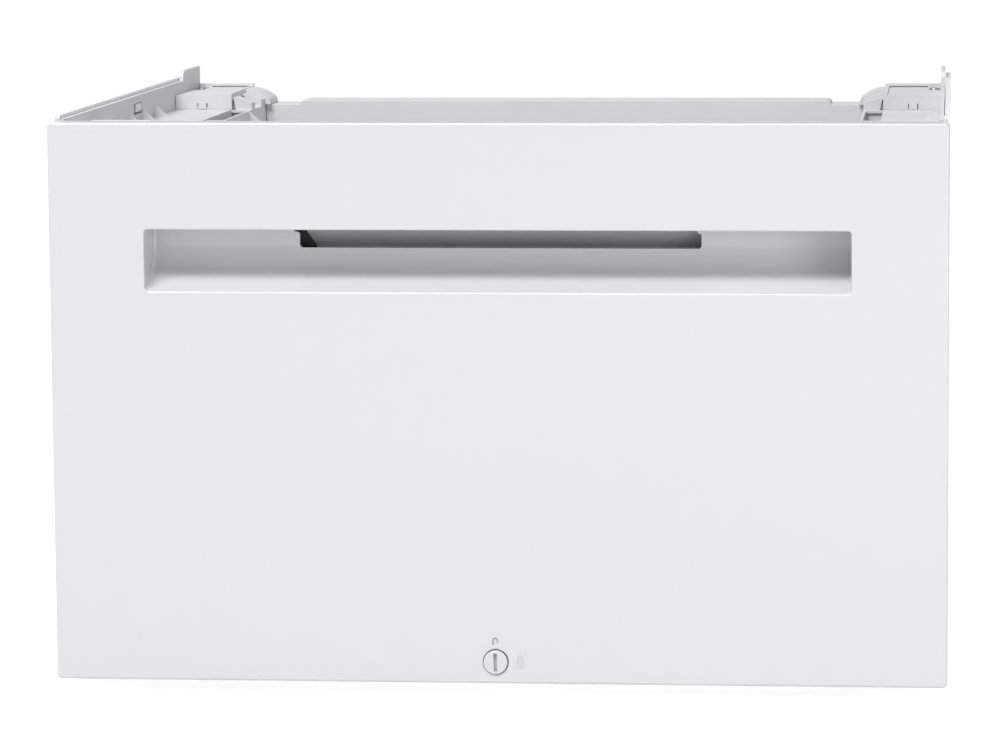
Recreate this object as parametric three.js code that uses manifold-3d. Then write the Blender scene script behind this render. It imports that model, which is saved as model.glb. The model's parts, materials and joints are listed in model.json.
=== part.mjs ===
// Washer pedestal with a drawer: a low cabinet that carries a washer on four corner blocks,
// and a drawer on telescopic slides behind a white front panel with a handle recess and a coin lock.
// Millimetres, +Z up. The front faces -Y, and the origin is on the floor under the middle.

import * as THREE from 'three';
import { mergeVertices } from 'three/addons/utils/BufferGeometryUtils.js';
import Module from 'manifold-3d';

const wasm = await Module();
wasm.setup();

// ---------------------------------------------------------------- driving sizes

// Whole pedestal
const width = 598; // over the front panel and the side sheets
const depth = 546; // panel face to the screw heads at the back
const panelHeight = 375;
const floorGap = 10.6; // floor to the panel's lower edge
const levelRise = 1.4; // level that heights are measured down from, above the panel's upper edge
const tabRise = 7; // rear tabs above the level
const seat = 0.3; // gap between two pieces that are seated on each other
const slip = 0.5; // gap between two pieces that slide or turn

// Front panel
const panelDepth = 20; // face to the rim of the returned edges
const panelSkin = 2.5;
const panelCorner = 3.5;
const panelEdgeRound = 1.2;

// Handle recess, heights measured down from the level
const recessWidth = 470;
const recessTop = 73;
const recessBottom = 114;
const recessDepth = 35;
const recessFloorRise = 10; // the floor climbs this much towards the back
const recessFillet = 10;
const gripWidth = 270;
const gripHeight = 13; // slot in the back of the recess
const gripLip = 2; // from the top of the recess down to the slot
const gripCorner = 2;
const gripShell = 2;
const gripReach = 16; // how far the finger cavity goes in behind the slot
const gripRise = 20; // and how far it goes up

// Lock
const lockHeight = 14.4; // axis above the panel's lower edge
const knobRadius = 8.7;
const knobProud = 1.6;
const knobSlotWidth = 1.5;
const knobSlotLength = 9;
const knobSlotDeep = 1.2;
const lockOffset = -2; // axis to the left of the middle
const spindleRadius = 4;
const housingRadius = 7;
const housingFlange = 10;
const camLength = 20;
const camWidth = 10;
const camThick = 2.5;
const camScrewLength = 8;
const camGap = 1.4; // free space in front of the cam when it is turned behind the strike
const strikeSheet = 1.5;
const strikeGap = 1.5; // from the panel's back plate to the strike
const strikeClear = 6.5; // from the lock's axis to the strike
const strikeWidth = 20;
const strikeHeight = 17;
const padlockWidth = 5;
const padlockHeight = 4;
const padlockProud = 0.4;
const openPadlockUp = 15; // open padlock above the lock's axis
const closedPadlockRight = 17;

// Side sheets
const sheet = 0.9;
const sheetHem = 3.3;
const sheetHemDeep = 9;
const sheetRise = 1.8; // top edge above the level
const sheetFlange = 14;
const sheetBottom = 0.6; // lower edge above the panel's lower edge
const frontGap = 3.5; // panel rim to the front edge of the cabinet

// Side liners
const linerOut = 3.9; // outer face, in from the side sheet's outer face
const linerThick = 3.1;
const linerDrop = 0.5; // top edge below the level
const ledgeDrop = 20.5;
const ledgeWidth = 43.5;
const ledgeThick = 3;
const ledgeLip = 14;
const finFirst = 149; // middle of the first fin, from the panel face
const finPitch = 50;
const finCount = 5;
const finThick = 2.2;
const finTop = 11.4; // tip of a fin, down from the level
const finReach = 11;
const slotStart = 267; // slot in the side liner, from the panel face
const slotLength = 32;
const slotTop = 6;
const slotHeight = 8;
const slotCorner = 1.5;
const clipTongueStart = 9; // tongue of the clip, from the front end of the slot
const clipTongueLift = 1.3; // above the lower edge of the slot
const tabLength = 74;
const tabShoulder = 9;

// Corner blocks and posts
const frontBlockLength = 84;
const rearBlockLength = 109;
const blockInner = 50.5; // inner face, in from the outer face of the pedestal
const blockTop = 9.5; // floor of a block's top, down from the level
const blockHeight = 50;
const blockWall = 3.5;
const rimHeight = 2.8; // rim along the rear edge of a block's top
const innerRimHeight = 1.2;
const rimThick = 3;
const rimSlotInset = 10; // slot at the foot of the rear rim, in from the block's outer face
const rimSlotHeight = 0.9;
const rimSlotDeep = 2;
const sideRunReach = 15; // inner wall of a rear block's side run, out from the block
const sideRunWall = 2;
const sideRunTop = 21; // down from the level
const sideRunFoot = 44;
const sideRunAhead = 115; // the side run starts this far ahead of its block
const crossRibAhead = 11; // second cross rib of the side run, ahead of the block
const crossRibThick = 2.5;
const crossRibDrop = 12; // second cross rib's top, below the top of the side run
const gussetTop = 11.4; // down from the level
const gussetDrop = 4.4; // its top falls this much to its tip
const gussetFlat = 3.5;
const gussetDeep = 16;
const gussetPitch = 45;
const gussetSkin = 1.6; // over the slit
const gussetSlit = 2.9; // slit between a gusset and the block, at its foot
const archTop = 8.9;
const archKnee = 15.5; // where its slope turns down, in from the block
const archFall = 5.3; // its top falls this much to the knee
const archReach = 19.5;
const archLength = 38;
const archAhead = 44; // front of the arch, ahead of the block's rear end
const braceReach = 22;
const braceDrop = 18;
const clipChannelWidth = 9; // channel in a rear block beside the side liner
const clipChannelStart = 68; // from the block's front face
const clipChannelDeep = 9;
const clipScrewInset = 5;
const clipScrewPlace = 87; // from the block's front face
const clipLength = 32;
const clipSheet = 1.2;
const clipDrop = 0.6; // top of the clip, below the floor of the block's top
const padInset = 25; // raised pad on a rear block's front face
const padWidth = 6;
const padTop = 15;
const padHeight = 5.2;
const padProud = 0.8;
const padSlotWidth = 1; // slot at each side of the pad
const padSlotHeight = 3.5;
const padSlotDeep = 2;
const postSheet = 1.5;

// Cross members
const beamSheet = 2;
const beamDepth = 38;
const rearBeamEndTop = 21;
const rearBeamMiddleTop = 18;
const rearBeamMiddle = 414; // length of the raised middle
const rearBeamHeight = 36;
const rearBeamStepRound = 3;
const frontBeamTop = 21;
const frontBeamHeight = 24;
const frontBeamDepth = 38;

// Base frame
const railHeight = 20;
const railSheet = 1.5;
const crossRailStart = 36; // front rail, from the panel face
const crossRailDepth = 38;

// Levelling feet
const footInset = 40; // axis in from the outer face of the side
const footFront = 92; // axis from the panel face
const footBack = 58; // axis from the back
const footRadius = 21;
const footPad = 7;
const stemRadius = 5;
const stemTop = 30; // above the lower face of the rail
const nutAcross = 17;
const nutHeight = 5;
const footCollar = 4;

// Slides
const slideHeight = 45;
const slideSheet = 1.2;
const slideWidth = 12.7;
const slideStart = 52; // front end, from the panel face
const slideBack = 44; // rear end, from the back
const slideAxis = 225; // middle of the slide, down from the level

// Drawer tub
const tubSheet = 1.2;
const tubTop = 60; // rim, down from the level
const tubFlange = 9;
const tubBottom = 32; // lower face above the panel's lower edge
const tubStart = 44; // outer face of the front wall, from the panel face
const tubBack = 32; // outer face of the rear wall, from the back
const tubFoldUnder = 16;
const tubFrontTop = 125; // rim of the front wall, which stays under the handle recess
const rivetInset = 9; // rivets in from the tub's side wall
const bracketInset = 149; // brackets between the panel and the tub, in from the side
const bracketWidth = 36;
const bracketBottom = 60; // above the panel's lower edge
const bracketHeight = 150;
const bossRadius = 4.5;
const bossInset = 18; // panel screws in from the panel's side edges
const plateInset = 4;
const bufferRadius = 7;
const bufferInset = 32;
const bufferDrop = 34; // upper buffers, down from the level
const bufferRise = 70; // lower buffers, up from the panel's lower edge
const beadHeight = 2;
const beadWidth = 10;
const beadCount = 5;
const beadEnd = 25; // from the ends of the floor to a bead

// Rear panel
const rearSheet = 0.8;
const rearPanelTop = 22;
const rearRibHeights = [80, 180, 280]; // lower edges of the pressed ribs, above the panel
const rearRibHalf = 240;
const rearRibWidth = 12;
const rearRibProud = 1.5;

// Fasteners
const screwHead = 4;
const screwHeadHeight = 1.5;
const screwShank = 1.7;
const screwHole = 2.1;

// ---------------------------------------------------------------- places worked out from the sizes

const half = width / 2;
const frontFace = (knobProud - depth) / 2;
const panelBottom = floorGap;
const panelTop = floorGap + panelHeight;
const level = panelTop + levelRise;
const cabinetFront = panelDepth + frontGap;
const cabinetBack = depth - screwHeadHeight - rearSheet - seat; // rear face of the side sheets
const innerBack = cabinetBack - sheet - seat; // rear end of what lies inside the side sheets

// from the front face backwards, from the level down, and in from one side
const back = (d) => frontFace + d;
const down = (h) => level - h;
const inward = (side, t) => side * (half - t);

const linerInner = linerOut + linerThick;
const blockOuter = linerInner + seat;
const blockBottom = blockTop + blockHeight;
const slideOuter = blockInner + seat;
const slideLength = depth - slideBack - slideStart;
const tubOuter = slideOuter + slideWidth + seat; // outer face of the tub, in from the side
const lockZ = panelBottom + lockHeight;
const bracketPlace = half - bracketInset;
const plateFront = panelDepth + seat;
const plateSheet = 1.2;
const plateBack = plateFront + plateSheet;

// ---------------------------------------------------------------- shapes

// A closed three.js geometry as a solid that can be joined and cut.
function solid(geometry) {
  geometry.deleteAttribute('normal');
  geometry.deleteAttribute('uv');
  const merged = mergeVertices(geometry, 1e-4);
  return new wasm.Manifold(new wasm.Mesh({
    numProp: 3,
    vertProperties: new Float32Array(merged.attributes.position.array),
    triVerts: new Uint32Array(merged.index.array),
  }));
}

function block(xa, xb, ya, yb, za, zb) {
  const geometry = new THREE.BoxGeometry(Math.abs(xb - xa), Math.abs(yb - ya), Math.abs(zb - za));
  geometry.translate((xa + xb) / 2, (ya + yb) / 2, (za + zb) / 2);
  return solid(geometry);
}

const asShape = (outline) => (Array.isArray(outline)
  ? new THREE.Shape(outline.map(([u, v]) => new THREE.Vector2(u, v)))
  : outline);

function extruded(outline, length, steps) {
  return new THREE.ExtrudeGeometry(asShape(outline), {
    depth: length,
    bevelEnabled: false,
    curveSegments: steps,
  });
}

// An outline in X and Z, run along Y.
function alongY(outline, ya, yb, steps = 6) {
  const geometry = extruded(outline, Math.abs(yb - ya), steps);
  const turn = new THREE.Matrix4().makeBasis(
    new THREE.Vector3(1, 0, 0),
    new THREE.Vector3(0, 0, 1),
    new THREE.Vector3(0, -1, 0),
  );
  geometry.applyMatrix4(turn);
  geometry.translate(0, Math.max(ya, yb), 0);
  return solid(geometry);
}

// An outline in Y and Z, run along X.
function alongX(outline, xa, xb, steps = 6) {
  const geometry = extruded(outline, Math.abs(xb - xa), steps);
  const turn = new THREE.Matrix4().makeBasis(
    new THREE.Vector3(0, 1, 0),
    new THREE.Vector3(0, 0, 1),
    new THREE.Vector3(1, 0, 0),
  );
  geometry.applyMatrix4(turn);
  geometry.translate(Math.min(xa, xb), 0, 0);
  return solid(geometry);
}

// An outline in X and Y, run along Z.
function alongZ(outline, za, zb, steps = 6) {
  const geometry = extruded(outline, Math.abs(zb - za), steps);
  geometry.translate(0, 0, Math.min(za, zb));
  return solid(geometry);
}

function circle(u, v, radius) {
  const shape = new THREE.Shape();
  shape.absarc(u, v, radius, 0, 2 * Math.PI, false);
  return shape;
}

function polygon(u, v, radius, sides) {
  const corner = (i) => (2 * Math.PI * (i + 0.5)) / sides;
  return Array.from({ length: sides }, (_, i) => (
    [u + radius * Math.cos(corner(i)), v + radius * Math.sin(corner(i))]
  ));
}

function roundedRect(ua, ub, va, vb, radius) {
  const shape = new THREE.Shape();
  const u0 = Math.min(ua, ub);
  const u1 = Math.max(ua, ub);
  const v0 = Math.min(va, vb);
  const v1 = Math.max(va, vb);
  shape.moveTo(u0 + radius, v0);
  shape.absarc(u1 - radius, v0 + radius, radius, -Math.PI / 2, 0, false);
  shape.absarc(u1 - radius, v1 - radius, radius, 0, Math.PI / 2, false);
  shape.absarc(u0 + radius, v1 - radius, radius, Math.PI / 2, Math.PI, false);
  shape.absarc(u0 + radius, v0 + radius, radius, Math.PI, 1.5 * Math.PI, false);
  return shape;
}

const join = (pieces) => pieces.reduce((whole, piece) => whole.add(piece));
const cut = (whole, holes) => holes.reduce((rest, hole) => rest.subtract(hole), whole);

// A screw or rivet along the axis that `run` follows: its head stands out from `at` in the
// direction `out`, which is 1 or -1, and its shank goes the other way.
function fastener(run, u, v, at, out, shankLength, headRadius = screwHead, headHeight = screwHeadHeight) {
  const head = run(polygon(u, v, headRadius, 10), at, at + out * headHeight);
  const shank = run(polygon(u, v, screwShank, 8), at + out * headHeight * 0.5, at - out * shankLength);
  return head.add(shank);
}

const hole = (run, u, v, a, b, radius = screwHole) => run(polygon(u, v, radius, 8), a, b);

// ---------------------------------------------------------------- finishes and placing

const whiteGloss = { color: '#e9e9eb', roughness: 0.2, metalness: 0 };
const whitePaint = { color: '#e4e4e6', roughness: 0.35, metalness: 0 };
const greyPlastic = { color: '#cfcfd2', roughness: 0.5, metalness: 0 };
const darkPlastic = { color: '#3a3a3c', roughness: 0.6, metalness: 0 };
const zincSteel = { color: '#b4b7ba', roughness: 0.4, metalness: 1 };
const galvanised = { color: '#a9adb1', roughness: 0.5, metalness: 1 };
const blackRubber = { color: '#222224', roughness: 0.85, metalness: 0 };

const pedestal = new THREE.Group();

function place(parent, name, finish, body) {
  const { vertProperties, triVerts } = body.getMesh();
  const geometry = new THREE.BufferGeometry();
  geometry.setAttribute('position', new THREE.BufferAttribute(vertProperties, 3));
  geometry.setIndex(new THREE.BufferAttribute(triVerts, 1));
  geometry.computeVertexNormals();
  const mesh = new THREE.Mesh(geometry, new THREE.MeshStandardMaterial(finish));
  mesh.name = name;
  parent.add(mesh);
}

const sides = [
  { name: 'left', side: -1 },
  { name: 'right', side: 1 },
];

// ---------------------------------------------------------------- cabinet

const sheetLow = panelBottom + sheetBottom;
const railLow = sheetLow + sheet + seat; // lower face of the base rails, on the sheets' lower flange
const railTop = railLow + railHeight;
const rearScrewInset = sheetFlange * 0.7;
const rearScrewHeights = [30, 130, 230, 330];

function sideSheet(side) {
  const x = (t) => inward(side, t);
  const high = level + sheetRise;
  const hemLow = high - sheetHemDeep;
  const wall = alongY([
    [x(0), sheetLow],
    [x(sheetFlange), sheetLow],
    [x(sheetFlange), sheetLow + sheet],
    [x(sheet), sheetLow + sheet],
    [x(sheet), hemLow],
    [x(sheetHem), hemLow],
    [x(sheetHem), high],
    [x(0), high],
  ], back(cabinetFront), back(cabinetBack));
  const rearFlange = block(x(0), x(sheetFlange), back(cabinetBack - sheet), back(cabinetBack),
    sheetLow, down(rearPanelTop));
  const holes = rearScrewHeights.map((h) => hole(alongY, x(rearScrewInset), sheetLow + h,
    back(cabinetBack - 2 * sheet), back(cabinetBack + sheet)));
  return cut(wall.add(rearFlange), holes);
}

// Inner moulded side: wall, ledge with gusset fins, slot and rear tab.
const ledgeStart = cabinetFront + frontBlockLength + seat;
const ledgeEnd = innerBack - rearBlockLength - padProud - seat;

function sideLiner(side) {
  const x = (t) => inward(side, t);
  const wall = block(x(linerOut), x(linerInner), back(cabinetFront), back(innerBack),
    railLow, down(linerDrop));
  const ledge = block(x(linerInner - 1), x(linerInner + ledgeWidth), back(ledgeStart), back(ledgeEnd),
    down(ledgeDrop), down(ledgeDrop + ledgeThick));
  const lip = block(x(linerInner + ledgeWidth - ledgeThick), x(linerInner + ledgeWidth),
    back(ledgeStart), back(ledgeEnd), down(ledgeDrop + 1), down(ledgeDrop + ledgeLip));
  const fins = Array.from({ length: finCount }, (_, i) => {
    const middle = back(finFirst + i * finPitch);
    return alongY([
      [x(linerInner - 1), down(finTop)],
      [x(linerInner), down(finTop)],
      [x(linerInner + finReach), down(ledgeDrop)],
      [x(linerInner + finReach), down(ledgeDrop + 1)],
      [x(linerInner - 1), down(ledgeDrop + 1)],
    ], middle - finThick / 2, middle + finThick / 2);
  });
  const slot = alongX(roundedRect(back(slotStart), back(slotStart + slotLength),
    down(slotTop + slotHeight), down(slotTop), slotCorner), x(linerOut - 1), x(linerInner + 1), 3);
  const tabFront = back(innerBack - tabLength);
  const tabTop = level + tabRise;
  const tabLow = down(linerDrop + 2);
  const shoulder = new THREE.Shape();
  shoulder.moveTo(tabFront, tabLow);
  shoulder.lineTo(tabFront, tabTop - tabShoulder * 0.75);
  shoulder.quadraticCurveTo(tabFront, tabTop, tabFront + tabShoulder, tabTop);
  shoulder.lineTo(back(innerBack), tabTop);
  shoulder.lineTo(back(innerBack), tabLow);
  const tab = alongX(shoulder, x(linerOut), x(linerInner), 5);
  return join([wall, ledge, lip, ...fins, tab]).subtract(slot);
}

// Moulded block under one foot of the washer, hollow from below, with rims at its inner and rear edges.
function cornerBlock(side, start, length) {
  const x = (t) => inward(side, t);
  const middle = back(start + length / 2);
  const end = start + length;
  const top = down(blockTop);
  const low = down(blockBottom);
  const pocket = (ya, yb) => block(x(blockOuter + blockWall), x(blockInner - blockWall), ya, yb,
    low - 1, top - blockWall);
  const rim = (ta, front, rise) => block(x(ta), x(blockInner), back(front), back(end), top - 1, top + rise);
  const rimFace = end - rimThick;
  const rimSlot = block(x(blockOuter + rimSlotInset), x(blockInner - rimThick), back(rimFace - 1),
    back(rimFace + rimSlotDeep), top, top + rimSlotHeight);
  return cut(join([
    block(x(blockOuter), x(blockInner), back(start), back(end), low, top),
    rim(blockInner - rimThick, start, innerRimHeight),
    rim(blockOuter, rimFace, rimHeight),
  ]), [
    rimSlot,
    pocket(back(start + blockWall), middle - blockWall / 2),
    pocket(middle + blockWall / 2, back(end - blockWall)),
  ]);
}

// A rear block also has a channel for the clip, a pad on its front face, and a side run with
// cross ribs, gussets, an arch and a brace.
const rearBlockStart = innerBack - rearBlockLength;
const gussetStarts = [0, gussetPitch].map((d) => rearBlockStart + blockWall + d);
const clipMiddle = rearBlockStart + clipScrewPlace;

function clipChannel(side) {
  const x = (t) => inward(side, t);
  const floor = down(blockTop) - clipChannelDeep;
  const end = rearBlockStart + rearBlockLength;
  const inner = x(blockOuter + clipChannelWidth);
  return {
    trough: block(x(blockOuter), x(blockOuter + clipChannelWidth + blockWall), back(rearBlockStart + 1),
      back(end - 1), floor - blockWall, down(blockTop) - 0.5),
    hollow: block(x(blockOuter - 1), inner, back(rearBlockStart + clipChannelStart),
      back(end - blockWall), floor, down(blockTop) + rimHeight + 1),
    screw: hole(alongZ, x(blockOuter + clipScrewInset), back(clipMiddle), floor - 2 * blockWall,
      floor + 1),
  };
}

function sideRun(side) {
  const x = (t) => inward(side, t);
  const start = rearBlockStart - sideRunAhead;
  const outer = blockInner + sideRunReach;
  const top = down(sideRunTop);
  const foot = down(sideRunFoot);
  const inner = blockInner + 2 * seat; // beside the lip of the ledge
  const plate = (outline, front, deep) => alongY(outline.map(([t, h]) => [x(t), down(h)]),
    back(front), back(front + deep));
  const crossRib = (front, high) => block(x(inner), x(outer), back(front), back(front + crossRibThick),
    foot, high);
  const gusset = (front) => plate([
    [blockInner - 1, gussetTop],
    [blockInner + gussetFlat, gussetTop],
    [outer, gussetTop + gussetDrop],
    [outer, sideRunTop + 1],
    [blockInner + gussetSlit, sideRunTop + 1],
    [blockInner + gussetSlit * 0.3, gussetTop + gussetSkin],
    [blockInner - 1, gussetTop + gussetSkin],
  ], front, gussetDeep);
  const arch = new THREE.Shape();
  const archFront = innerBack - archAhead;
  arch.moveTo(x(blockInner - 1), down(sideRunTop - seat));
  arch.lineTo(x(blockInner - 1), down(archTop));
  arch.lineTo(x(blockInner + 1), down(archTop));
  arch.quadraticCurveTo(x(blockInner + archKnee * 0.6), down(archTop + archFall * 0.15),
    x(blockInner + archKnee), down(archTop + archFall));
  arch.quadraticCurveTo(x(blockInner + archReach), down(archTop + archFall * 1.4),
    x(blockInner + archReach), down(sideRunTop - seat));
  const crossRibStart = rearBlockStart - crossRibAhead;
  return [
    block(x(outer - sideRunWall), x(outer), back(start), back(innerBack), foot, top),
    block(x(blockInner - 1), x(outer), back(rearBlockStart), back(innerBack),
      down(sideRunTop + sideRunWall), top),
    crossRib(start, top),
    crossRib(crossRibStart, top - crossRibDrop),
    ...gussetStarts.map(gusset),
    alongY(arch, back(archFront), back(archFront + archLength), 5),
    block(x(blockInner - 1), x(outer), back(archFront), back(archFront + archLength), top - 1,
      down(sideRunTop - 2 * seat)),
    plate([
      [outer - 0.5, sideRunTop],
      [outer + braceReach, sideRunTop + braceDrop],
      [outer + braceReach, sideRunFoot],
      [outer - 0.5, sideRunFoot],
    ], crossRibStart, crossRibThick),
  ];
}

function rearBlock(side) {
  const { trough, hollow, screw } = clipChannel(side);
  const pad = block(inward(side, padInset), inward(side, padInset + padWidth),
    back(rearBlockStart - padProud), back(rearBlockStart + 1), down(padTop + padHeight), down(padTop));
  const slotMiddle = padTop + padHeight / 2;
  const padSlots = [padInset - padSlotWidth, padInset + padWidth].map((t) => block(inward(side, t),
    inward(side, t + padSlotWidth), back(rearBlockStart - 1), back(rearBlockStart + padSlotDeep),
    down(slotMiddle + padSlotHeight / 2), down(slotMiddle - padSlotHeight / 2)));
  const body = cornerBlock(side, rearBlockStart, rearBlockLength);
  return cut(join([body, trough, pad, ...sideRun(side)]), [hollow, screw, ...padSlots]);
}

// Folded steel post under a block, open towards the side liner.
const slideZ = down(slideAxis);
const postLow = railTop + seat;
const postHigh = down(blockBottom) - seat;
const slideScrewPlaces = [18, 44, slideLength - 50, slideLength - 18].map((d) => slideStart + d);

function cornerPost(side, start, length) {
  const x = (t) => inward(side, t);
  const body = block(x(blockOuter), x(blockInner), back(start), back(start + length), postLow, postHigh);
  const inside = block(x(blockOuter - 1), x(blockInner - postSheet), back(start + postSheet),
    back(start + length - postSheet), postLow - 1, postHigh + 1);
  const holes = slideScrewPlaces.map((d) => hole(alongX, back(d), slideZ,
    x(blockInner - 3 * postSheet), x(blockInner + 1)));
  return cut(body, [inside, ...holes]);
}

// A channel with its open side down.
function channelAlongX(halfLength, start, length, top, height, wall) {
  const body = block(-halfLength, halfLength, back(start), back(start + length), top - height, top);
  const inside = block(-halfLength - 1, halfLength + 1, back(start + wall),
    back(start + length - wall), top - height - 1, top - wall);
  return body.subtract(inside);
}

const frontBeamHalf = half - blockInner - seat;
const rearBeamHalf = half - blockInner - sideRunReach - seat;

function rearBeam() {
  const start = innerBack - beamDepth;
  const endTop = down(rearBeamEndTop);
  const middleTop = down(rearBeamMiddleTop);
  const low = endTop - rearBeamHeight;
  const middleHalf = rearBeamMiddle / 2;
  const ends = block(-rearBeamHalf, rearBeamHalf, back(start), back(innerBack), low, endTop);
  const middle = alongY(roundedRect(-middleHalf, middleHalf, low, middleTop, rearBeamStepRound),
    back(start), back(innerBack), 3);
  const under = block(-rearBeamHalf - 1, rearBeamHalf + 1, back(start + beamSheet),
    back(innerBack - beamSheet), low - 1, endTop - beamSheet);
  const underMiddle = block(beamSheet - middleHalf, middleHalf - beamSheet, back(start + beamSheet),
    back(innerBack - beamSheet), low - 1, middleTop - beamSheet);
  return cut(ends.add(middle), [under, underMiddle]);
}

const frontBeam = () => channelAlongX(frontBeamHalf, cabinetFront, frontBeamDepth, down(frontBeamTop),
  frontBeamHeight, beamSheet);

// Base frame: two side rails that the feet and posts stand on, and two rails across.
function sideRail(side) {
  const x = (t) => inward(side, t);
  const body = block(x(blockOuter), x(blockInner), back(cabinetFront), back(innerBack), railLow, railTop);
  const inside = block(x(blockOuter + railSheet), x(blockInner - railSheet), back(cabinetFront - 1),
    back(innerBack + 1), railLow - 1, railTop - railSheet);
  const stems = [footFront, depth - footBack].map((d) => hole(alongZ, x(footInset), back(d),
    railTop - 2 * railSheet, railTop + 1, stemRadius + slip));
  return cut(body, [inside, ...stems]);
}

const lockX = lockOffset;
const strikeFront = plateBack + strikeGap;
const strikeNear = lockX + strikeClear;
const strikeFar = strikeNear + strikeWidth;
const strikeBack = crossRailStart - seat;
const strikeScrewPlaces = [strikeNear + 0.25 * strikeWidth, strikeNear + 0.75 * strikeWidth];
const strikeScrewZ = railLow + railHeight * 0.55;

function frontCrossRail() {
  const rail = channelAlongX(frontBeamHalf, crossRailStart, crossRailDepth, railTop, railHeight, railSheet);
  return cut(rail, strikeScrewPlaces.map((x) => hole(alongY, x, strikeScrewZ,
    back(crossRailStart - 1), back(crossRailStart + 2 * railSheet))));
}

const rearCrossRail = () => channelAlongX(frontBeamHalf, innerBack - crossRailDepth, crossRailDepth,
  railTop, railHeight, railSheet);

// U-shaped strike: the cam turns in behind its front leg.
function lockStrike() {
  const bar = (front, rear, high) => block(strikeNear, strikeFar, back(front), back(rear), railLow, high);
  const body = join([
    bar(strikeFront, strikeFront + strikeSheet, railLow + strikeHeight),
    bar(strikeFront, strikeBack, railLow + strikeSheet),
    bar(strikeBack - strikeSheet, strikeBack, railLow + strikeHeight),
  ]);
  return cut(body, strikeScrewPlaces.map((x) => hole(alongY, x, strikeScrewZ,
    back(strikeBack - 2 * strikeSheet), back(strikeBack + 1))));
}

// Sheet steel back, screwed to the rear flanges of the side sheets.
const rearPanelFront = cabinetBack + seat;
const rearScrewPlaces = sides.flatMap(({ side }) => (
  rearScrewHeights.map((h) => [inward(side, rearScrewInset), sheetLow + h])
));

function rearPanel() {
  const plate = alongY(roundedRect(seat - half, half - seat, sheetLow, down(rearPanelTop), 2),
    back(rearPanelFront), back(rearPanelFront + rearSheet), 2);
  const ribs = rearRibHeights.map((h) => block(-rearRibHalf, rearRibHalf,
    back(rearPanelFront + rearSheet / 2), back(rearPanelFront + rearSheet + rearRibProud),
    sheetLow + h, sheetLow + h + rearRibWidth));
  return cut(join([plate, ...ribs]), rearScrewPlaces.map(([x, z]) => hole(alongY, x, z,
    back(rearPanelFront - 1), back(rearPanelFront + 2))));
}

// Clip that ties a rear block to the side liner, in the block's channel.
function wallClip(side) {
  const x = (t) => inward(side, t);
  const front = back(clipMiddle - clipLength / 2);
  const rear = back(clipMiddle + clipLength / 2);
  const top = down(blockTop + clipDrop);
  const plate = block(x(blockOuter), x(blockOuter + clipChannelWidth - slip), front, rear,
    top - clipSheet, top);
  const leg = block(x(blockOuter), x(blockOuter + clipSheet), front, rear,
    down(blockTop + clipChannelDeep) + seat, top);
  return plate.add(leg).subtract(hole(alongZ, x(blockOuter + clipScrewInset), back(clipMiddle),
    top - 2 * clipSheet, top + 1));
}

// Clip between the side sheet and the liner, with a tongue that shows in the liner's slot.
function slotClip(side) {
  const x = (t) => inward(side, t);
  const middle = slotStart + slotLength / 2;
  const spread = (part) => [back(middle - part), back(middle + part)];
  const plate = block(x(sheet + seat), x(linerOut - seat), ...spread(slotLength * 0.42),
    down(slotTop + slotHeight + 3), down(sheetHemDeep));
  const front = back(slotStart + clipTongueStart);
  const rear = back(slotStart + slotLength - slip);
  const low = down(slotTop + slotHeight - clipTongueLift);
  const tongue = alongX(roundedRect(front, rear, low, down(slotTop + slip), slotCorner),
    x(sheetHem + seat), x(linerInner - seat), 3);
  const neck = block(x(linerOut - 1), x(linerOut + 1), front + slotCorner, rear - slotCorner,
    low, down(sheetHemDeep));
  return join([plate, neck, tongue]);
}

// ---------------------------------------------------------------- levelling feet

const footTop = railLow + stemTop;

function footPadSolid(x, y) {
  const profile = [
    [0, 0], [footRadius - 1.5, 0], [footRadius, 1.5], [footRadius, footPad * 0.6],
    [stemRadius * 2.4, footPad], [stemRadius + seat, footPad],
    [stemRadius + seat, footPad * 0.35], [0, footPad * 0.35],
  ];
  const points = profile.map(([r, z]) => new THREE.Vector2(r, z));
  const geometry = new THREE.LatheGeometry([...points, points[0].clone()], 20);
  geometry.rotateX(Math.PI / 2);
  geometry.translate(x, y, 0);
  return solid(geometry);
}

function footStem(x, y) {
  const low = footPad * 0.35 + seat;
  const stem = alongZ(polygon(x, y, stemRadius, 12), low, footTop);
  const collar = alongZ(polygon(x, y, nutAcross / 2, 6), footPad + seat, footPad + seat + footCollar);
  return stem.add(collar);
}

const footPlaces = sides.flatMap(({ name, side }) => [
  { name: `front_${name}`, x: inward(side, footInset), y: back(footFront) },
  { name: `rear_${name}`, x: inward(side, footInset), y: back(depth - footBack) },
]);

// Lock nut under the side rail.
function lockNut(x, y) {
  const high = railTop - railSheet - seat;
  return alongZ(polygon(x, y, nutAcross / 2, 6), high - nutHeight, high)
    .subtract(alongZ(polygon(x, y, stemRadius + seat, 12), high - nutHeight - 1, high + 1));
}

// ---------------------------------------------------------------- telescopic slides

// A rail with a C section: a web and two flanges. `web` and `tip` are distances in from the side.
function slideRail(side, web, tip, halfHeight) {
  const x = (t) => inward(side, t);
  const turn = Math.sign(tip - web);
  const bar = (ta, tb, za, zb) => block(x(ta), x(tb), back(slideStart),
    back(slideStart + slideLength), slideZ + za, slideZ + zb);
  return join([
    bar(web, web + turn * slideSheet, -halfHeight, halfHeight),
    bar(web, tip, halfHeight - slideSheet, halfHeight),
    bar(web, tip, -halfHeight, slideSheet - halfHeight),
  ]);
}

const outerHalf = slideHeight / 2;
const middleHalf = outerHalf - slideSheet - slip;
const innerHalf = middleHalf - slideSheet - slip;
const slideInner = slideOuter + slideWidth;
const middleWeb = slideOuter + slideSheet + slip;
const outerTip = slideInner - slideSheet - slip;
const middleTip = outerTip;
const innerTip = middleWeb + slideSheet + slip;
const drawerRivetPlaces = [0.12, 0.4, 0.68, 0.92].map((part) => slideStart + part * slideLength);

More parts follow.
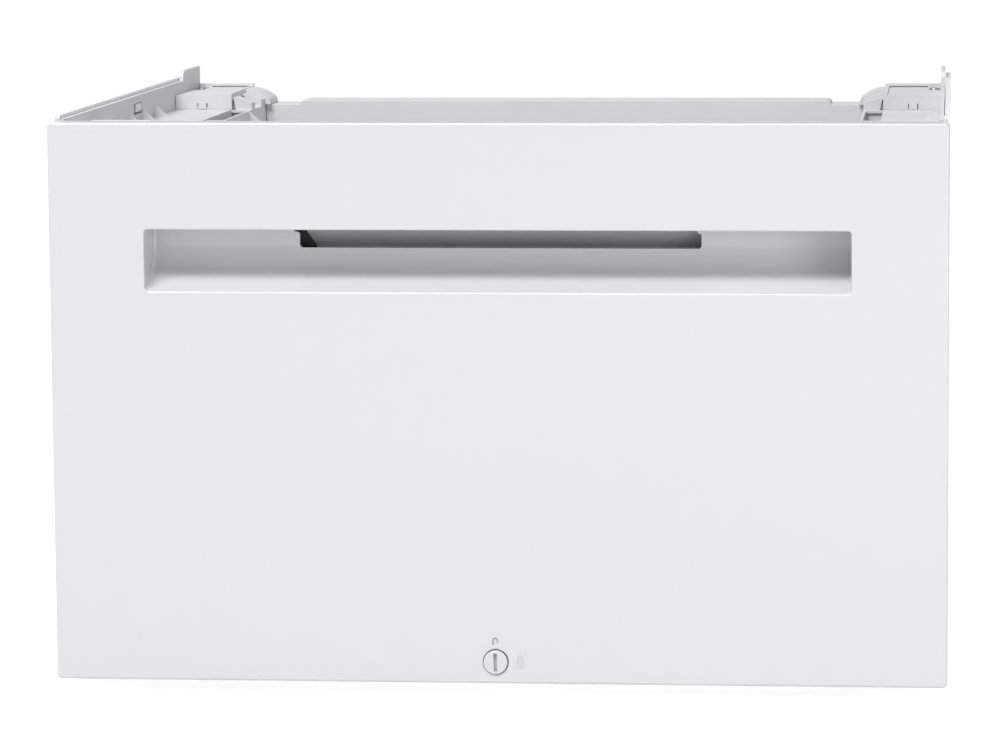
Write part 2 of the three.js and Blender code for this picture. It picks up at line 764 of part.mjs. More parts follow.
function fixedRail(side) {
  const rail = slideRail(side, slideOuter, outerTip, outerHalf);
  return cut(rail, slideScrewPlaces.map((d) => hole(alongX, back(d), slideZ,
    inward(side, slideOuter - 1), inward(side, slideOuter + slideSheet + 1), screwHead + seat)));
}

const middleRail = (side) => slideRail(side, middleWeb, middleTip, middleHalf);

function drawerRail(side) {
  const rail = slideRail(side, slideInner, innerTip, innerHalf);
  return cut(rail, drawerRivetPlaces.map((d) => hole(alongX, back(d), slideZ,
    inward(side, slideInner - 2 * slideSheet), inward(side, slideInner + 1))));
}

// ---------------------------------------------------------------- drawer tub

const tubLow = panelBottom + tubBottom;
const tubHigh = down(tubTop);
const tubEnd = depth - tubBack;
const floorLow = tubLow + tubSheet + seat;
const tubInsideHalf = half - tubOuter - tubSheet - seat;
const floorFront = tubStart + tubSheet + seat;
const floorEnd = tubEnd - tubSheet - seat;
const tubRivetPlaces = [0.08, 0.36, 0.64, 0.92].map((part) => floorFront + part * (floorEnd - floorFront));

function tubSide(side) {
  const x = (t) => inward(side, t);
  const wall = alongY([
    [x(tubOuter - tubFlange), tubHigh],
    [x(tubOuter - tubFlange), tubHigh - tubSheet],
    [x(tubOuter), tubHigh - tubSheet],
    [x(tubOuter), tubLow],
    [x(tubOuter + tubFoldUnder), tubLow],
    [x(tubOuter + tubFoldUnder), tubLow + tubSheet],
    [x(tubOuter + tubSheet), tubLow + tubSheet],
    [x(tubOuter + tubSheet), tubHigh],
  ], back(tubStart), back(tubEnd));
  const slideHoles = drawerRivetPlaces.map((d) => hole(alongX, back(d), slideZ,
    x(tubOuter - 1), x(tubOuter + tubSheet + 1)));
  const floorHoles = tubRivetPlaces.map((d) => hole(alongZ, x(tubOuter + rivetInset), back(d),
    tubLow - 1, tubLow + tubSheet + 1));
  return cut(wall, [...slideHoles, ...floorHoles]);
}

function tubFloor() {
  const plate = block(-tubInsideHalf, tubInsideHalf, back(floorFront), back(floorEnd),
    floorLow, floorLow + tubSheet);
  const pitch = (2 * tubInsideHalf) / beadCount;
  const top = floorLow + tubSheet;
  const beads = Array.from({ length: beadCount }, (_, i) => {
    const middle = (i + 0.5) * pitch - tubInsideHalf;
    return alongY([
      [middle - beadWidth / 2, top - tubSheet / 2],
      [middle - beadWidth / 2 + beadHeight, top + beadHeight],
      [middle + beadWidth / 2 - beadHeight, top + beadHeight],
      [middle + beadWidth / 2, top - tubSheet / 2],
    ], back(floorFront + beadEnd), back(floorEnd - beadEnd));
  });
  const holes = sides.flatMap(({ side }) => tubRivetPlaces.map((d) => hole(alongZ,
    inward(side, tubOuter + rivetInset), back(d), floorLow - 1, floorLow + tubSheet + 1)));
  return cut(join([plate, ...beads]), holes);
}

const bracketScrewHeights = [bracketBottom + bracketHeight * 0.2, bracketBottom + bracketHeight * 0.8]
  .map((h) => panelBottom + h);
const bracketScrewPlaces = sides.flatMap(({ side }) => (
  bracketScrewHeights.map((z) => [side * bracketPlace, z])
));

function tubFront() {
  const high = down(tubFrontTop);
  const wall = block(-tubInsideHalf, tubInsideHalf, back(tubStart), back(tubStart + tubSheet),
    floorLow, high);
  const flange = block(-tubInsideHalf, tubInsideHalf, back(tubStart - tubFlange),
    back(tubStart + tubSheet), high - tubSheet, high);
  return cut(wall.add(flange), bracketScrewPlaces.map(([x, z]) => hole(alongY, x, z,
    back(tubStart - 1), back(tubStart + tubSheet + 1))));
}

function tubRear() {
  const wall = block(-tubInsideHalf, tubInsideHalf, back(tubEnd - tubSheet), back(tubEnd),
    floorLow, tubHigh);
  const flange = block(-tubInsideHalf, tubInsideHalf, back(tubEnd - tubSheet),
    back(tubEnd + tubFlange), tubHigh - tubSheet, tubHigh);
  return wall.add(flange);
}

// Folded bracket between the panel's back plate and the tub, open towards the side.
function panelBracket(side) {
  const front = back(plateBack + seat);
  const rear = back(tubStart - seat);
  const low = panelBottom + bracketBottom;
  const nearX = side * (bracketPlace - bracketWidth / 2);
  const farX = side * (bracketPlace + bracketWidth / 2);
  const body = block(nearX, farX, front, rear, low, low + bracketHeight);
  const inside = block(nearX + side * postSheet, farX + side, front + postSheet, rear - postSheet,
    low - 1, low + bracketHeight + 1);
  const holes = bracketScrewPlaces.map(([x, z]) => hole(alongY, x, z, rear - 2 * postSheet, rear + 1));
  return cut(body, [inside, ...holes]);
}

// ---------------------------------------------------------------- front panel

const bossPlaces = [
  ...sides.flatMap(({ side }) => [bossInset, 0.34 * panelHeight, 0.66 * panelHeight,
    panelHeight - bossInset].map((h) => [side * (half - bossInset), panelBottom + h])),
  ...sides.map(({ side }) => [side * bracketPlace, panelBottom + bossInset]),
];

// Section of the handle recess in Y and Z from `start` behind the panel's face, grown by a wall.
// The floor climbs to the back and meets it in a fillet.
function recessSection(grow, start) {
  const floorAt = (d) => down(recessBottom + grow) + (recessFloorRise * d) / recessDepth;
  const end = recessDepth + grow;
  const round = recessFillet + grow;
  const shape = new THREE.Shape();
  shape.moveTo(back(start), down(recessTop - grow));
  shape.lineTo(back(end), down(recessTop - grow));
  shape.lineTo(back(end), floorAt(end) + round);
  shape.quadraticCurveTo(back(end), floorAt(end), back(end - round), floorAt(end - round));
  shape.lineTo(back(start), floorAt(start));
  return shape;
}

function padlock(x, z, isOpen) {
  const face = back(0);
  const low = z - padlockHeight / 2 - padlockHeight * 0.3;
  const high = low + padlockHeight;
  const body = alongY(roundedRect(x - padlockWidth / 2, x + padlockWidth / 2, low, high, 0.5),
    face - padlockProud, face + 0.5, 2);
  const bowMiddle = isOpen ? x + padlockWidth * 0.62 : x;
  const bowOuter = padlockWidth * 0.38;
  const bowInner = padlockWidth * 0.24;
  const bowShape = new THREE.Shape();
  const bowFoot = high - 0.4;
  const bowTop = high + padlockHeight * 0.3;
  bowShape.moveTo(bowMiddle + bowOuter, isOpen ? bowTop - 0.4 : bowFoot);
  bowShape.lineTo(bowMiddle + bowOuter, bowTop);
  bowShape.absarc(bowMiddle, bowTop, bowOuter, 0, Math.PI, false);
  bowShape.lineTo(bowMiddle - bowOuter, bowFoot);
  bowShape.lineTo(bowMiddle - bowInner, bowFoot);
  bowShape.lineTo(bowMiddle - bowInner, bowTop);
  bowShape.absarc(bowMiddle, bowTop, bowInner, Math.PI, 0, true);
  bowShape.lineTo(bowMiddle + bowInner, isOpen ? bowTop - 0.4 : bowFoot);
  return body.add(alongY(bowShape, face - padlockProud, face + 0.5, 5));
}

function frontPanel() {
  const face = roundedRect(-half + panelEdgeRound, half - panelEdgeRound,
    panelBottom + panelEdgeRound, panelTop - panelEdgeRound, panelCorner - panelEdgeRound);
  const blank = new THREE.ExtrudeGeometry(face, {
    depth: panelDepth,
    bevelThickness: panelEdgeRound,
    bevelSize: panelEdgeRound,
    bevelSegments: 2,
    curveSegments: 4,
  });
  blank.applyMatrix4(new THREE.Matrix4().makeBasis(
    new THREE.Vector3(1, 0, 0),
    new THREE.Vector3(0, 0, 1),
    new THREE.Vector3(0, -1, 0),
  ));
  blank.translate(0, back(panelDepth + panelEdgeRound), 0);
  const behind = block(-half - 1, half + 1, back(panelDepth), back(2 * panelDepth),
    panelBottom - 1, panelTop + 1);
  const pocket = block(panelSkin - half, half - panelSkin, back(panelSkin), back(panelDepth + 1),
    panelBottom + panelSkin, panelTop - panelSkin);
  const skin = cut(solid(blank), [behind, pocket]);
  const bosses = bossPlaces.map(([x, z]) => alongY(polygon(x, z, bossRadius, 10),
    back(panelSkin / 2), back(panelDepth)));
  const bossHoles = bossPlaces.map(([x, z]) => hole(alongY, x, z, back(panelSkin + 1),
    back(panelDepth + 1)));
  const bowlHalf = recessWidth / 2;
  const bowl = alongX(recessSection(panelSkin, panelSkin / 2), -bowlHalf - panelSkin,
    bowlHalf + panelSkin, 6);
  const hollow = alongX(recessSection(0, -1), -bowlHalf, bowlHalf, 6);
  const slotLow = down(recessTop + gripHeight + gripLip);
  const slot = alongY(roundedRect(-gripWidth / 2, gripWidth / 2, slotLow, slotLow + gripHeight,
    gripCorner), back(recessDepth - 1), back(recessDepth + panelSkin + 1), 3);
  const knobHole = alongY(circle(lockX, lockZ, knobRadius + slip), back(-1), back(panelSkin + 1), 8);
  const icons = [
    padlock(lockX, lockZ + openPadlockUp, true),
    padlock(lockX + closedPadlockRight, lockZ, false),
  ];
  return cut(join([skin, ...bosses, bowl, ...icons]), [...bossHoles, hollow, slot, knobHole]);
}

// Dark moulded finger cavity behind the slot in the recess.
function gripCavity() {
  const front = recessDepth + panelSkin + seat;
  const low = recessTop + gripLip + gripHeight;
  const high = recessTop + gripLip - gripRise;
  const reach = front + gripReach;
  const part = (grow, ya, yb) => block(-gripWidth / 2 - grow, gripWidth / 2 + grow, back(ya), back(yb),
    down(low + grow), down(high - grow));
  const mouth = block(-gripWidth / 2, gripWidth / 2, back(front - 1), back(front + gripShell + 1),
    down(low), down(recessTop + gripLip));
  return cut(part(gripShell, front, reach), [part(0, front + gripShell, reach - gripShell), mouth]);
}

// Steel plate that closes the panel at the back, with a window for the recess.
function backPlate() {
  const plate = alongY(roundedRect(plateInset - half, half - plateInset, panelBottom + plateInset,
    panelTop - plateInset, panelCorner), back(plateFront), back(plateBack), 3);
  const windowHalf = recessWidth / 2 + panelSkin + seat;
  const window = block(-windowHalf, windowHalf, back(plateFront - 1), back(plateBack + 1),
    down(recessBottom + panelSkin + seat), down(recessTop - panelSkin - seat));
  const screws = bossPlaces.map(([x, z]) => hole(alongY, x, z, back(plateFront - 1), back(plateBack + 1)));
  const barrel = hole(alongY, lockX, lockZ, back(plateFront - 1), back(plateBack + 1),
    spindleRadius + 2 * slip);
  return cut(plate, [window, barrel, ...screws]);
}

// Rubber buffer between the back plate and a front corner block.
const bufferPlaces = sides.flatMap(({ name, side }) => [
  { name: `upper_${name}`, x: side * (half - bufferInset), z: down(bufferDrop) },
  { name: `lower_${name}`, x: side * (half - bufferInset), z: panelBottom + bufferRise },
]);

const buffer = (x, z) => alongY(polygon(x, z, bufferRadius, 12), back(plateBack + seat),
  back(cabinetFront - seat));

// ---------------------------------------------------------------- lock

const housingFront = panelSkin + seat;
const housingBack = plateFront - seat;
const camFront = strikeFront + strikeSheet + camGap;
const camBack = camFront + camThick;

function lockHousing() {
  const flange = alongY(circle(lockX, lockZ, housingFlange), back(housingFront),
    back(housingFront + panelSkin), 8);
  const tube = alongY(circle(lockX, lockZ, housingRadius), back(housingFront), back(housingBack), 8);
  const bore = alongY(polygon(lockX, lockZ, spindleRadius + slip, 16), back(housingFront - 1),
    back(housingBack + 1));
  return flange.add(tube).subtract(bore);
}

// Coin knob and spindle. The slot stands upright while the lock is open.
function lockKnob() {
  const disc = alongY(circle(lockX, lockZ, knobRadius), back(-knobProud), back(housingFront - seat), 10);
  const spindle = alongY(polygon(lockX, lockZ, spindleRadius, 16), back(0), back(camBack - slip / 2));
  const slot = alongY(roundedRect(lockX - knobSlotWidth / 2, lockX + knobSlotWidth / 2,
    lockZ - knobSlotLength / 2, lockZ + knobSlotLength / 2, knobSlotWidth * 0.45),
  back(-knobProud - 1), back(knobSlotDeep - knobProud), 3);
  const bore = hole(alongY, lockX, lockZ, back(camFront - camScrewLength), back(camBack + 1));
  return cut(disc.add(spindle), [slot, bore]);
}

function lockCam() {
  const plate = alongY(roundedRect(lockX - camWidth / 2, lockX + camWidth / 2,
    lockZ - spindleRadius - camThick, lockZ + camLength, camWidth * 0.4), back(camFront), back(camBack), 4);
  return plate.subtract(alongY(polygon(lockX, lockZ, spindleRadius + seat, 16), back(camFront - 1),
    back(camBack + 1)));
}

const camScrew = () => fastener(alongY, lockX, lockZ, back(camBack + seat), 1,
  camThick + camScrewLength * 0.8, spindleRadius + 1.4);

// ---------------------------------------------------------------- the whole pedestal

const cabinet = new THREE.Group();
const slides = new THREE.Group();
const drawer = new THREE.Group();
const lock = new THREE.Group();
const feet = new THREE.Group();
pedestal.add(cabinet, slides, drawer, lock, feet);

sides.forEach(({ name, side }) => {
  place(cabinet, `${name}_side_sheet`, whitePaint, sideSheet(side));
  place(cabinet, `${name}_side_liner`, greyPlastic, sideLiner(side));
  place(cabinet, `${name}_slot_clip`, greyPlastic, slotClip(side));
  place(cabinet, `${name}_wall_clip`, zincSteel, wallClip(side));
  place(cabinet, `${name}_base_rail`, galvanised, sideRail(side));
  place(cabinet, `front_${name}_corner_block`, greyPlastic,
    cornerBlock(side, cabinetFront, frontBlockLength));
  place(cabinet, `rear_${name}_corner_block`, greyPlastic, rearBlock(side));
  place(cabinet, `front_${name}_post`, galvanised, cornerPost(side, cabinetFront, frontBlockLength));
  place(cabinet, `rear_${name}_post`, galvanised, cornerPost(side, rearBlockStart, rearBlockLength));
  place(slides, `${name}_fixed_rail`, zincSteel, fixedRail(side));
  place(slides, `${name}_middle_rail`, zincSteel, middleRail(side));
  place(slides, `${name}_drawer_rail`, zincSteel, drawerRail(side));
  place(drawer, `drawer_${name}_wall`, whitePaint, tubSide(side));
  place(drawer, `${name}_panel_bracket`, galvanised, panelBracket(side));
});

place(cabinet, 'rear_cross_member', greyPlastic, rearBeam());
place(cabinet, 'front_cross_member', greyPlastic, frontBeam());
place(cabinet, 'front_base_rail', galvanised, frontCrossRail());
place(cabinet, 'rear_base_rail', galvanised, rearCrossRail());
place(cabinet, 'lock_strike', zincSteel, lockStrike());
place(cabinet, 'rear_panel', galvanised, rearPanel());

place(drawer, 'front_panel', whiteGloss, frontPanel());
place(drawer, 'panel_back_plate', galvanised, backPlate());
place(drawer, 'grip_cavity', darkPlastic, gripCavity());
place(drawer, 'drawer_floor', whitePaint, tubFloor());
place(drawer, 'drawer_front_wall', whitePaint, tubFront());
place(drawer, 'drawer_rear_wall', whitePaint, tubRear());
place(drawer, 'lock_housing', greyPlastic, lockHousing());

place(lock, 'lock_knob', greyPlastic, lockKnob());
place(lock, 'lock_cam', zincSteel, lockCam());
place(lock, 'lock_cam_screw', zincSteel, camScrew());

footPlaces.forEach(({ name, x, y }) => {
  place(feet, `${name}_foot_pad`, darkPlastic, footPadSolid(x, y));
  place(feet, `${name}_foot_stem`, zincSteel, footStem(x, y));
  place(cabinet, `${name}_foot_nut`, zincSteel, lockNut(x, y));
});

bufferPlaces.forEach(({ name, x, z }) => place(drawer, `${name}_buffer`, blackRubber, buffer(x, z)));

export default pedestal;
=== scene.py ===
import json
import math

import bmesh
import bpy
from mathutils import Matrix, Vector

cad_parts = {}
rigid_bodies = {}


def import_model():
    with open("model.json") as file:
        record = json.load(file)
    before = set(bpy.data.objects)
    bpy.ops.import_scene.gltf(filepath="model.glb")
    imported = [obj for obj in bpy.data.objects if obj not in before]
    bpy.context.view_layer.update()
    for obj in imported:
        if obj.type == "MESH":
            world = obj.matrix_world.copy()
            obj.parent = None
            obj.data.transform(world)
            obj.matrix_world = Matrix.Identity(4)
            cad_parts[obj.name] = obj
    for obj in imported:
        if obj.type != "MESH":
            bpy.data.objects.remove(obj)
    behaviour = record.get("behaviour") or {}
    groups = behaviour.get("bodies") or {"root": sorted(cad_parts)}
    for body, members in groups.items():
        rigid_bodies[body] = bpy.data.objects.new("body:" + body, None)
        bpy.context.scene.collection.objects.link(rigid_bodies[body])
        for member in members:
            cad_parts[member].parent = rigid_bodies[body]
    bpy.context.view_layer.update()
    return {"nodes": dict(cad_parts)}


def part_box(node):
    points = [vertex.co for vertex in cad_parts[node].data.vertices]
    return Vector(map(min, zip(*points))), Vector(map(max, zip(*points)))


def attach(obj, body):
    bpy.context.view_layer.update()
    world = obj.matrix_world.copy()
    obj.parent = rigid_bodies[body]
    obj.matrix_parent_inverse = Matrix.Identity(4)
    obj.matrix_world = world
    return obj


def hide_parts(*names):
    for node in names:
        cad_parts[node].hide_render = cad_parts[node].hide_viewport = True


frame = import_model()

bl_info = {
    "name": "Washer pedestal drawer",
    "version": (1, 0, 0),
    "blender": (4, 5, 0),
    "location": "View3D > Sidebar > Pedestal",
    "description": "Builds the visible pieces, finishes, light and camera of a washer pedestal with a drawer",
    "category": "Object",
}

MM = 0.001
NODES = frame["nodes"]


def node_box(name):
    """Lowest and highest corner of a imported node, in millimetres."""
    low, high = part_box(name)
    return low / MM, high / MM


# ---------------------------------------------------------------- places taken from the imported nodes, in mm

PANEL_LOW, PANEL_HIGH = node_box("front_panel")
HALF = PANEL_HIGH.x
FACE_Y = PANEL_LOW.y
PANEL_TOP = PANEL_HIGH.z
PANEL_BOTTOM = PANEL_LOW.z
KNOB_LOW, KNOB_HIGH = node_box("lock_knob")
LOCK_X = (KNOB_LOW.x + KNOB_HIGH.x) / 2
LOCK_Z = (KNOB_LOW.z + KNOB_HIGH.z) / 2
LEVEL = PANEL_TOP + 1.4  # level that heights are measured down from


def deep(distance):
    """Y of a point that far behind the panel's face."""
    return FACE_Y + distance


def under(height):
    """Z of a point that far below the level of the cabinet's top."""
    return LEVEL - height


# ---------------------------------------------------------------- colours and node trees

def linear(hex_colour):
    """An sRGB hex colour as linear RGBA."""
    channels = [int(hex_colour[i:i + 2], 16) / 255 for i in (1, 3, 5)]
    return (*[c / 12.92 if c <= 0.04045 else ((c + 0.055) / 1.055) ** 2.4 for c in channels], 1.0)


def scaled(colour, factor):
    """A linear colour made lighter or darker."""
    return (*[min(1.0, c * factor) for c in colour[:3]], 1.0)


def add(tree, kind, settings=None, links=None):
    """Adds a node, sets its properties and inputs, and links its inputs from other nodes' outputs."""
    node = tree.nodes.new(kind)
    for key, value in (settings or {}).items():
        if hasattr(node, key) and key not in node.inputs:
            setattr(node, key, value)
        else:
            node.inputs[key].default_value = value
    for key, (source, output) in (links or {}).items():
        tree.links.new(source.outputs[output], node.inputs[key])
    return node


def ramp(tree, source, stops):
    """A colour ramp from a node's output, with (place, linear colour) stops."""
    node = add(tree, "ShaderNodeValToRGB", links={"Fac": source})
    elements = node.color_ramp.elements
    while len(elements) < len(stops):
        elements.new(0.5)
    for element, (place, colour) in zip(elements, stops):
        element.position = place
        element.color = colour
    return node


def rays_that_see(tree, first, second):
    """1 for a ray of either kind of Light Path, and 0 for any other ray."""
    ray = add(tree, "ShaderNodeLightPath")
    seen = add(tree, "ShaderNodeMath", {"operation": "MAXIMUM"}, {0: (ray, first), 1: (ray, second)})
    return seen, "Value"


def new_material(name, shader_settings):
    """A material with one Principled shader; returns it with its tree, shader and object coordinates."""
    material = bpy.data.materials.new(name)
    material.use_nodes = True
    tree = material.node_tree
    tree.nodes.clear()
    shader = add(tree, "ShaderNodeBsdfPrincipled", shader_settings)
    add(tree, "ShaderNodeOutputMaterial", links={"Surface": (shader, "BSDF")})
    coordinates = add(tree, "ShaderNodeTexCoord")
    return material, tree, shader, (coordinates, "Object")


def surface(material, size, strength, height, detail):
    """Adds a bump to a material's shader. `size` and `height` of the pattern are in millimetres."""
    _, tree, shader, place = material
    pattern = add(tree, "ShaderNodeTexNoise", {"Scale": 1 / (size * MM), "Detail": detail}, {"Vector": place})
    bump = add(tree, "ShaderNodeBump", {"Strength": strength, "Distance": height * MM},
               {"Height": (pattern, "Fac")})
    tree.links.new(bump.outputs["Normal"], shader.inputs["Normal"])


def tint(material, scale, stops, detail=2.0, low=0.3, high=0.7):
    """Colour that wanders between a few near shades, in patches of about 1 / scale metres."""
    _, tree, shader, place = material
    cloud = add(tree, "ShaderNodeTexNoise", {"Scale": scale, "Detail": detail}, {"Vector": place})
    places = [low + (high - low) * i / max(1, len(stops) - 1) for i in range(len(stops))]
    shades = ramp(tree, (cloud, "Fac"), list(zip(places, stops)))
    tree.links.new(shades.outputs["Color"], shader.inputs["Base Color"])
    return cloud


def gloss_range(material, pattern, low, high):
    """Roughness that runs from low to high over a pattern."""
    _, tree, shader, _ = material
    spread = add(tree, "ShaderNodeMapRange",
                 {"From Min": 0.3, "From Max": 0.7, "To Min": low, "To Max": high},
                 {"Value": (pattern, "Fac")})
    tree.links.new(spread.outputs["Result"], shader.inputs["Roughness"])


def glossy_moulded_abs(colour):
    """White ABS, moulded against a polished tool and clear coated: an even mirror with a faint waviness."""
    made = new_material("glossy_moulded_abs", {"IOR": 1.53, "Coat Weight": 0.25, "Coat Roughness": 0.06})
    shades = [colour, scaled(colour, 0.985)]
    cloud = tint(made, 3.0, shades, low=0.15, high=0.85)
    gloss_range(made, cloud, 0.225, 0.24)
    # Flow waviness of a large moulding, about 40 mm from crest to crest.
    surface(made, 40, 0.08, 0.05, 1.0)
    return made[0]


def satin_powder_coat(colour):
    """Polyester powder coat on steel: a satin skin with fine orange peel."""
    made = new_material("satin_powder_coat", {"IOR": 1.5})
    cloud = tint(made, 5.0, [colour, scaled(colour, 0.97)])
    gloss_range(made, cloud, 0.34, 0.42)
    # Orange peel is about 1.5 mm across.
    surface(made, 1.5, 0.12, 0.03, 1.0)
    return made[0]


def grained_moulded_pp(name, colour, roughness, grain):
    """Polypropylene moulded against an eroded tool: matt, with a fine even grain."""
    made = new_material(name, {"IOR": 1.49})
    cloud = tint(made, 7.0, [colour, scaled(colour, 0.96), scaled(colour, 1.01)], detail=3.0)
    gloss_range(made, cloud, roughness, roughness + 0.08)
    # Spark-eroded grain is 0.1 to 0.2 mm, drawn at `grain` millimetres so that it shows.
    surface(made, grain, 0.25, 0.06, 2.0)
    return made[0]


def spangled_galvanised_steel(colour):
    """Hot-dip galvanised sheet: zinc crystals that catch the light each in its own way."""
    made = new_material("spangled_galvanised_steel", {"Metallic": 1.0})
    _, tree, shader, place = made
    # Spangle on building sheet is 4 to 10 mm across.
    crystals = add(tree, "ShaderNodeTexVoronoi", {"Scale": 1 / (7 * MM)}, {"Vector": place})
    grey = add(tree, "ShaderNodeSeparateColor", links={"Color": (crystals, "Color")})
    shades = ramp(tree, (grey, "Red"),
                  [(0.0, scaled(colour, 0.86)), (0.5, colour), (1.0, scaled(colour, 1.08))])
    tree.links.new(shades.outputs["Color"], shader.inputs["Base Color"])
    gloss = add(tree, "ShaderNodeMapRange", {"To Min": 0.32, "To Max": 0.55}, {"Value": (grey, "Green")})
    tree.links.new(gloss.outputs["Result"], shader.inputs["Roughness"])
    bump = add(tree, "ShaderNodeBump", {"Strength": 0.15, "Distance": 0.05 * MM}, {"Height": (grey, "Blue")})
    tree.links.new(bump.outputs["Normal"], shader.inputs["Normal"])
    return made[0]


def zinc_plated_steel(colour):
    """Bright zinc plate over rolled steel: fine rolling lines under a thin plated skin."""
    made = new_material("zinc_plated_steel", {"Metallic": 1.0, "Anisotropic": 0.3})
    _, tree, shader, place = made
    cloud = tint(made, 20.0, [colour, scaled(colour, 0.9)])
    gloss_range(made, cloud, 0.26, 0.38)
    # Rolling lines run along the sheet and are about 0.6 mm apart.
    drawn = add(tree, "ShaderNodeMapping", {"Scale": (1.0, 0.04, 1.0)}, {"Vector": place})
    lines = add(tree, "ShaderNodeTexNoise", {"Scale": 1 / (0.6 * MM), "Detail": 2.0},
                {"Vector": (drawn, "Vector")})
    bump = add(tree, "ShaderNodeBump", {"Strength": 0.15, "Distance": 0.02 * MM}, {"Height": (lines, "Fac")})
    tree.links.new(bump.outputs["Normal"], shader.inputs["Normal"])
    return made[0]


def moulded_rubber(colour):
    """EPDM rubber: dull black with a dusty bloom."""
    made = new_material("moulded_rubber", {"IOR": 1.52})
    cloud = tint(made, 60.0, [colour, scaled(colour, 1.5)], detail=4.0)
    gloss_range(made, cloud, 0.7, 0.9)
    # The mould's skin and the bloom break up at about 0.8 mm.
    surface(made, 0.8, 0.3, 0.05, 2.0)
    return made[0]


def relief_shade_ink(name, colour):
    """Grey ink on a relief, a painted shade for the shadow round its outline: a thin film with an uneven
    edge-to-edge cover.
    """
    made = new_material(name, {"IOR": 1.48})
    cloud = tint(made, 900.0, [colour, scaled(colour, 1.2)], detail=3.0)
    gloss_range(made, cloud, 0.45, 0.6)
    # The film has a skin texture about 0.3 mm across.
    surface(made, 0.3, 0.15, 0.01, 1.0)
    return made[0]


MATERIALS = {}


def finish_named(name):
    """The finish of that name, made when it is first asked for."""
    if name not in MATERIALS:
        colours = bpy.context.scene.pedestal_colours

        def chosen(part):
            return (*getattr(colours, part), 1.0)

        makers = {
            "panel": lambda: glossy_moulded_abs(chosen("panel")),
            "paint": lambda: satin_powder_coat(chosen("paint")),
            "grey": lambda: grained_moulded_pp("grained_grey_pp", chosen("moulding"), 0.42, 0.9),
            "knob": lambda: grained_moulded_pp("satin_knob_pp", chosen("knob"), 0.3, 0.7),
            "dark": lambda: grained_moulded_pp("matt_dark_pp", chosen("dark"), 0.5, 1.0),
            # The cavity's grey, darker than the mouldings, is painted shade for the dim inside of the finger
            # cup.
            "cavity": lambda: grained_moulded_pp("painted_shade_cavity_pp", chosen("cavity"), 0.45, 1.0),
            "galvanised": lambda: spangled_galvanised_steel(linear("#AEB2B4")),
            "zinc": lambda: zinc_plated_steel(linear("#C6C8C8")),
            "rubber": lambda: moulded_rubber(linear("#1B1B1C")),
            # Both inks are painted shade: they darken the padlock reliefs where the reliefs' own shadow
            # falls.
            "ink": lambda: relief_shade_ink("relief_shade_grey_ink", linear("#8C8C90")),
            "pale_ink": lambda: relief_shade_ink("relief_shade_pale_ink", linear("#C0C0C3")),
        }
        MATERIALS[name] = makers[name]()
    return MATERIALS[name]


# ---------------------------------------------------------------- mesh tools; all shapes are in millimetres

AXES = {"x": (1, 2, 0), "y": (0, 2, 1), "z": (0, 1, 2)}  # two axes of an outline, and the one it runs along
SHARP_ANGLE = math.radians(35)
PLANE_TOLERANCE = 0.02
MERGE_DISTANCE = 0.001
FLAT_ANGLE = math.radians(0.2)  # faces that turn less than this become one


def prism(outline, axis, start, end):
    """A closed bmesh: an outline in the two other axes, run along one axis."""
    u_axis, v_axis, run_axis = AXES[axis]
    bm = bmesh.new()
    rings = []
    for along in (start, end):
        ring = []
        for u, v in outline:
            point = [0.0, 0.0, 0.0]
            point[u_axis], point[v_axis], point[run_axis] = u, v, along
            ring.append(bm.verts.new(point))
        rings.append(ring)
    bm.faces.new(rings[0])
    bm.faces.new(list(reversed(rings[1])))
    for i in range(len(outline)):
        j = (i + 1) % len(outline)
        bm.faces.new((rings[0][i], rings[1][i], rings[1][j], rings[0][j]))
    bmesh.ops.recalc_face_normals(bm, faces=bm.faces)
    return bm


def box(low, high):
    """A closed box between two corners."""
    outline = [(low[0], low[1]), (high[0], low[1]), (high[0], high[1]), (low[0], high[1])]
    return prism(outline, "z", low[2], high[2])


def arc(u, v, radius, start, end, steps):
    """Points on an arc; angles are in degrees."""
    turns = [math.radians(start + (end - start) * i / steps) for i in range(steps + 1)]
    return [(u + radius * math.cos(t), v + radius * math.sin(t)) for t in turns]


def circle(u, v, radius, steps):
    """Points round a full circle."""
    return arc(u, v, radius, 0, 360, steps)[:-1]


def rounded(u0, u1, v0, v1, radius, steps):
    """Outline of a rectangle with round corners."""
    return [
        *arc(u1 - radius, v0 + radius, radius, -90, 0, steps),
        *arc(u1 - radius, v1 - radius, radius, 0, 90, steps),
        *arc(u0 + radius, v1 - radius, radius, 90, 180, steps),
        *arc(u0 + radius, v0 + radius, radius, 180, 270, steps),
    ]


def lathe(profile, centre, axis, steps):
    """A closed body of revolution. The profile is (radius, place along the axis), from axis to axis."""
    bm = bmesh.new()
    u_axis, v_axis, run_axis = AXES[axis]

    def point(radius, along, turn):
        place = list(centre)
        place[u_axis] += radius * math.cos(turn)
        place[v_axis] += radius * math.sin(turn)
        place[run_axis] += along
        return place

    rings = []
    for radius, along in profile:
        if radius < 1e-6:
            rings.append([bm.verts.new(point(0, along, 0))])
        else:
            rings.append([bm.verts.new(point(radius, along, 2 * math.pi * i / steps)) for i in range(steps)])
    for low, high in zip(rings, rings[1:]):
        for i in range(steps):
            j = (i + 1) % steps
            corners = [low[i % len(low)], low[j % len(low)], high[j % len(high)], high[i % len(high)]]
            corners = list(dict.fromkeys(corners))
            if len(corners) > 2:
                bm.faces.new(corners)
    bmesh.ops.recalc_face_normals(bm, faces=bm.faces)
    return bm


def round_edges(bm, chosen, radius, steps):
    """Rounds the edges that `chosen` picks."""
    bm.normal_update()
    edges = [e for e in bm.edges if chosen(e)]
    if not edges:
        raise RuntimeError("no edge to round")
    bmesh.ops.bevel(bm, geom=edges, offset=radius, segments=steps, profile=0.5, affect="EDGES",
                    clamp_overlap=True)
    return bm


def is_sharp(edge):
    """True for an edge whose two faces turn by more than SHARP_ANGLE."""
    return len(edge.link_faces) == 2 and edge.calc_face_angle(0) > SHARP_ANGLE


def lies_at(edge, axis, place):
    """True for an edge with both ends in a plane across that axis."""
    index = "xyz".index(axis)
    return all(abs(v.co[index] - place) < PLANE_TOLERANCE for v in edge.verts)


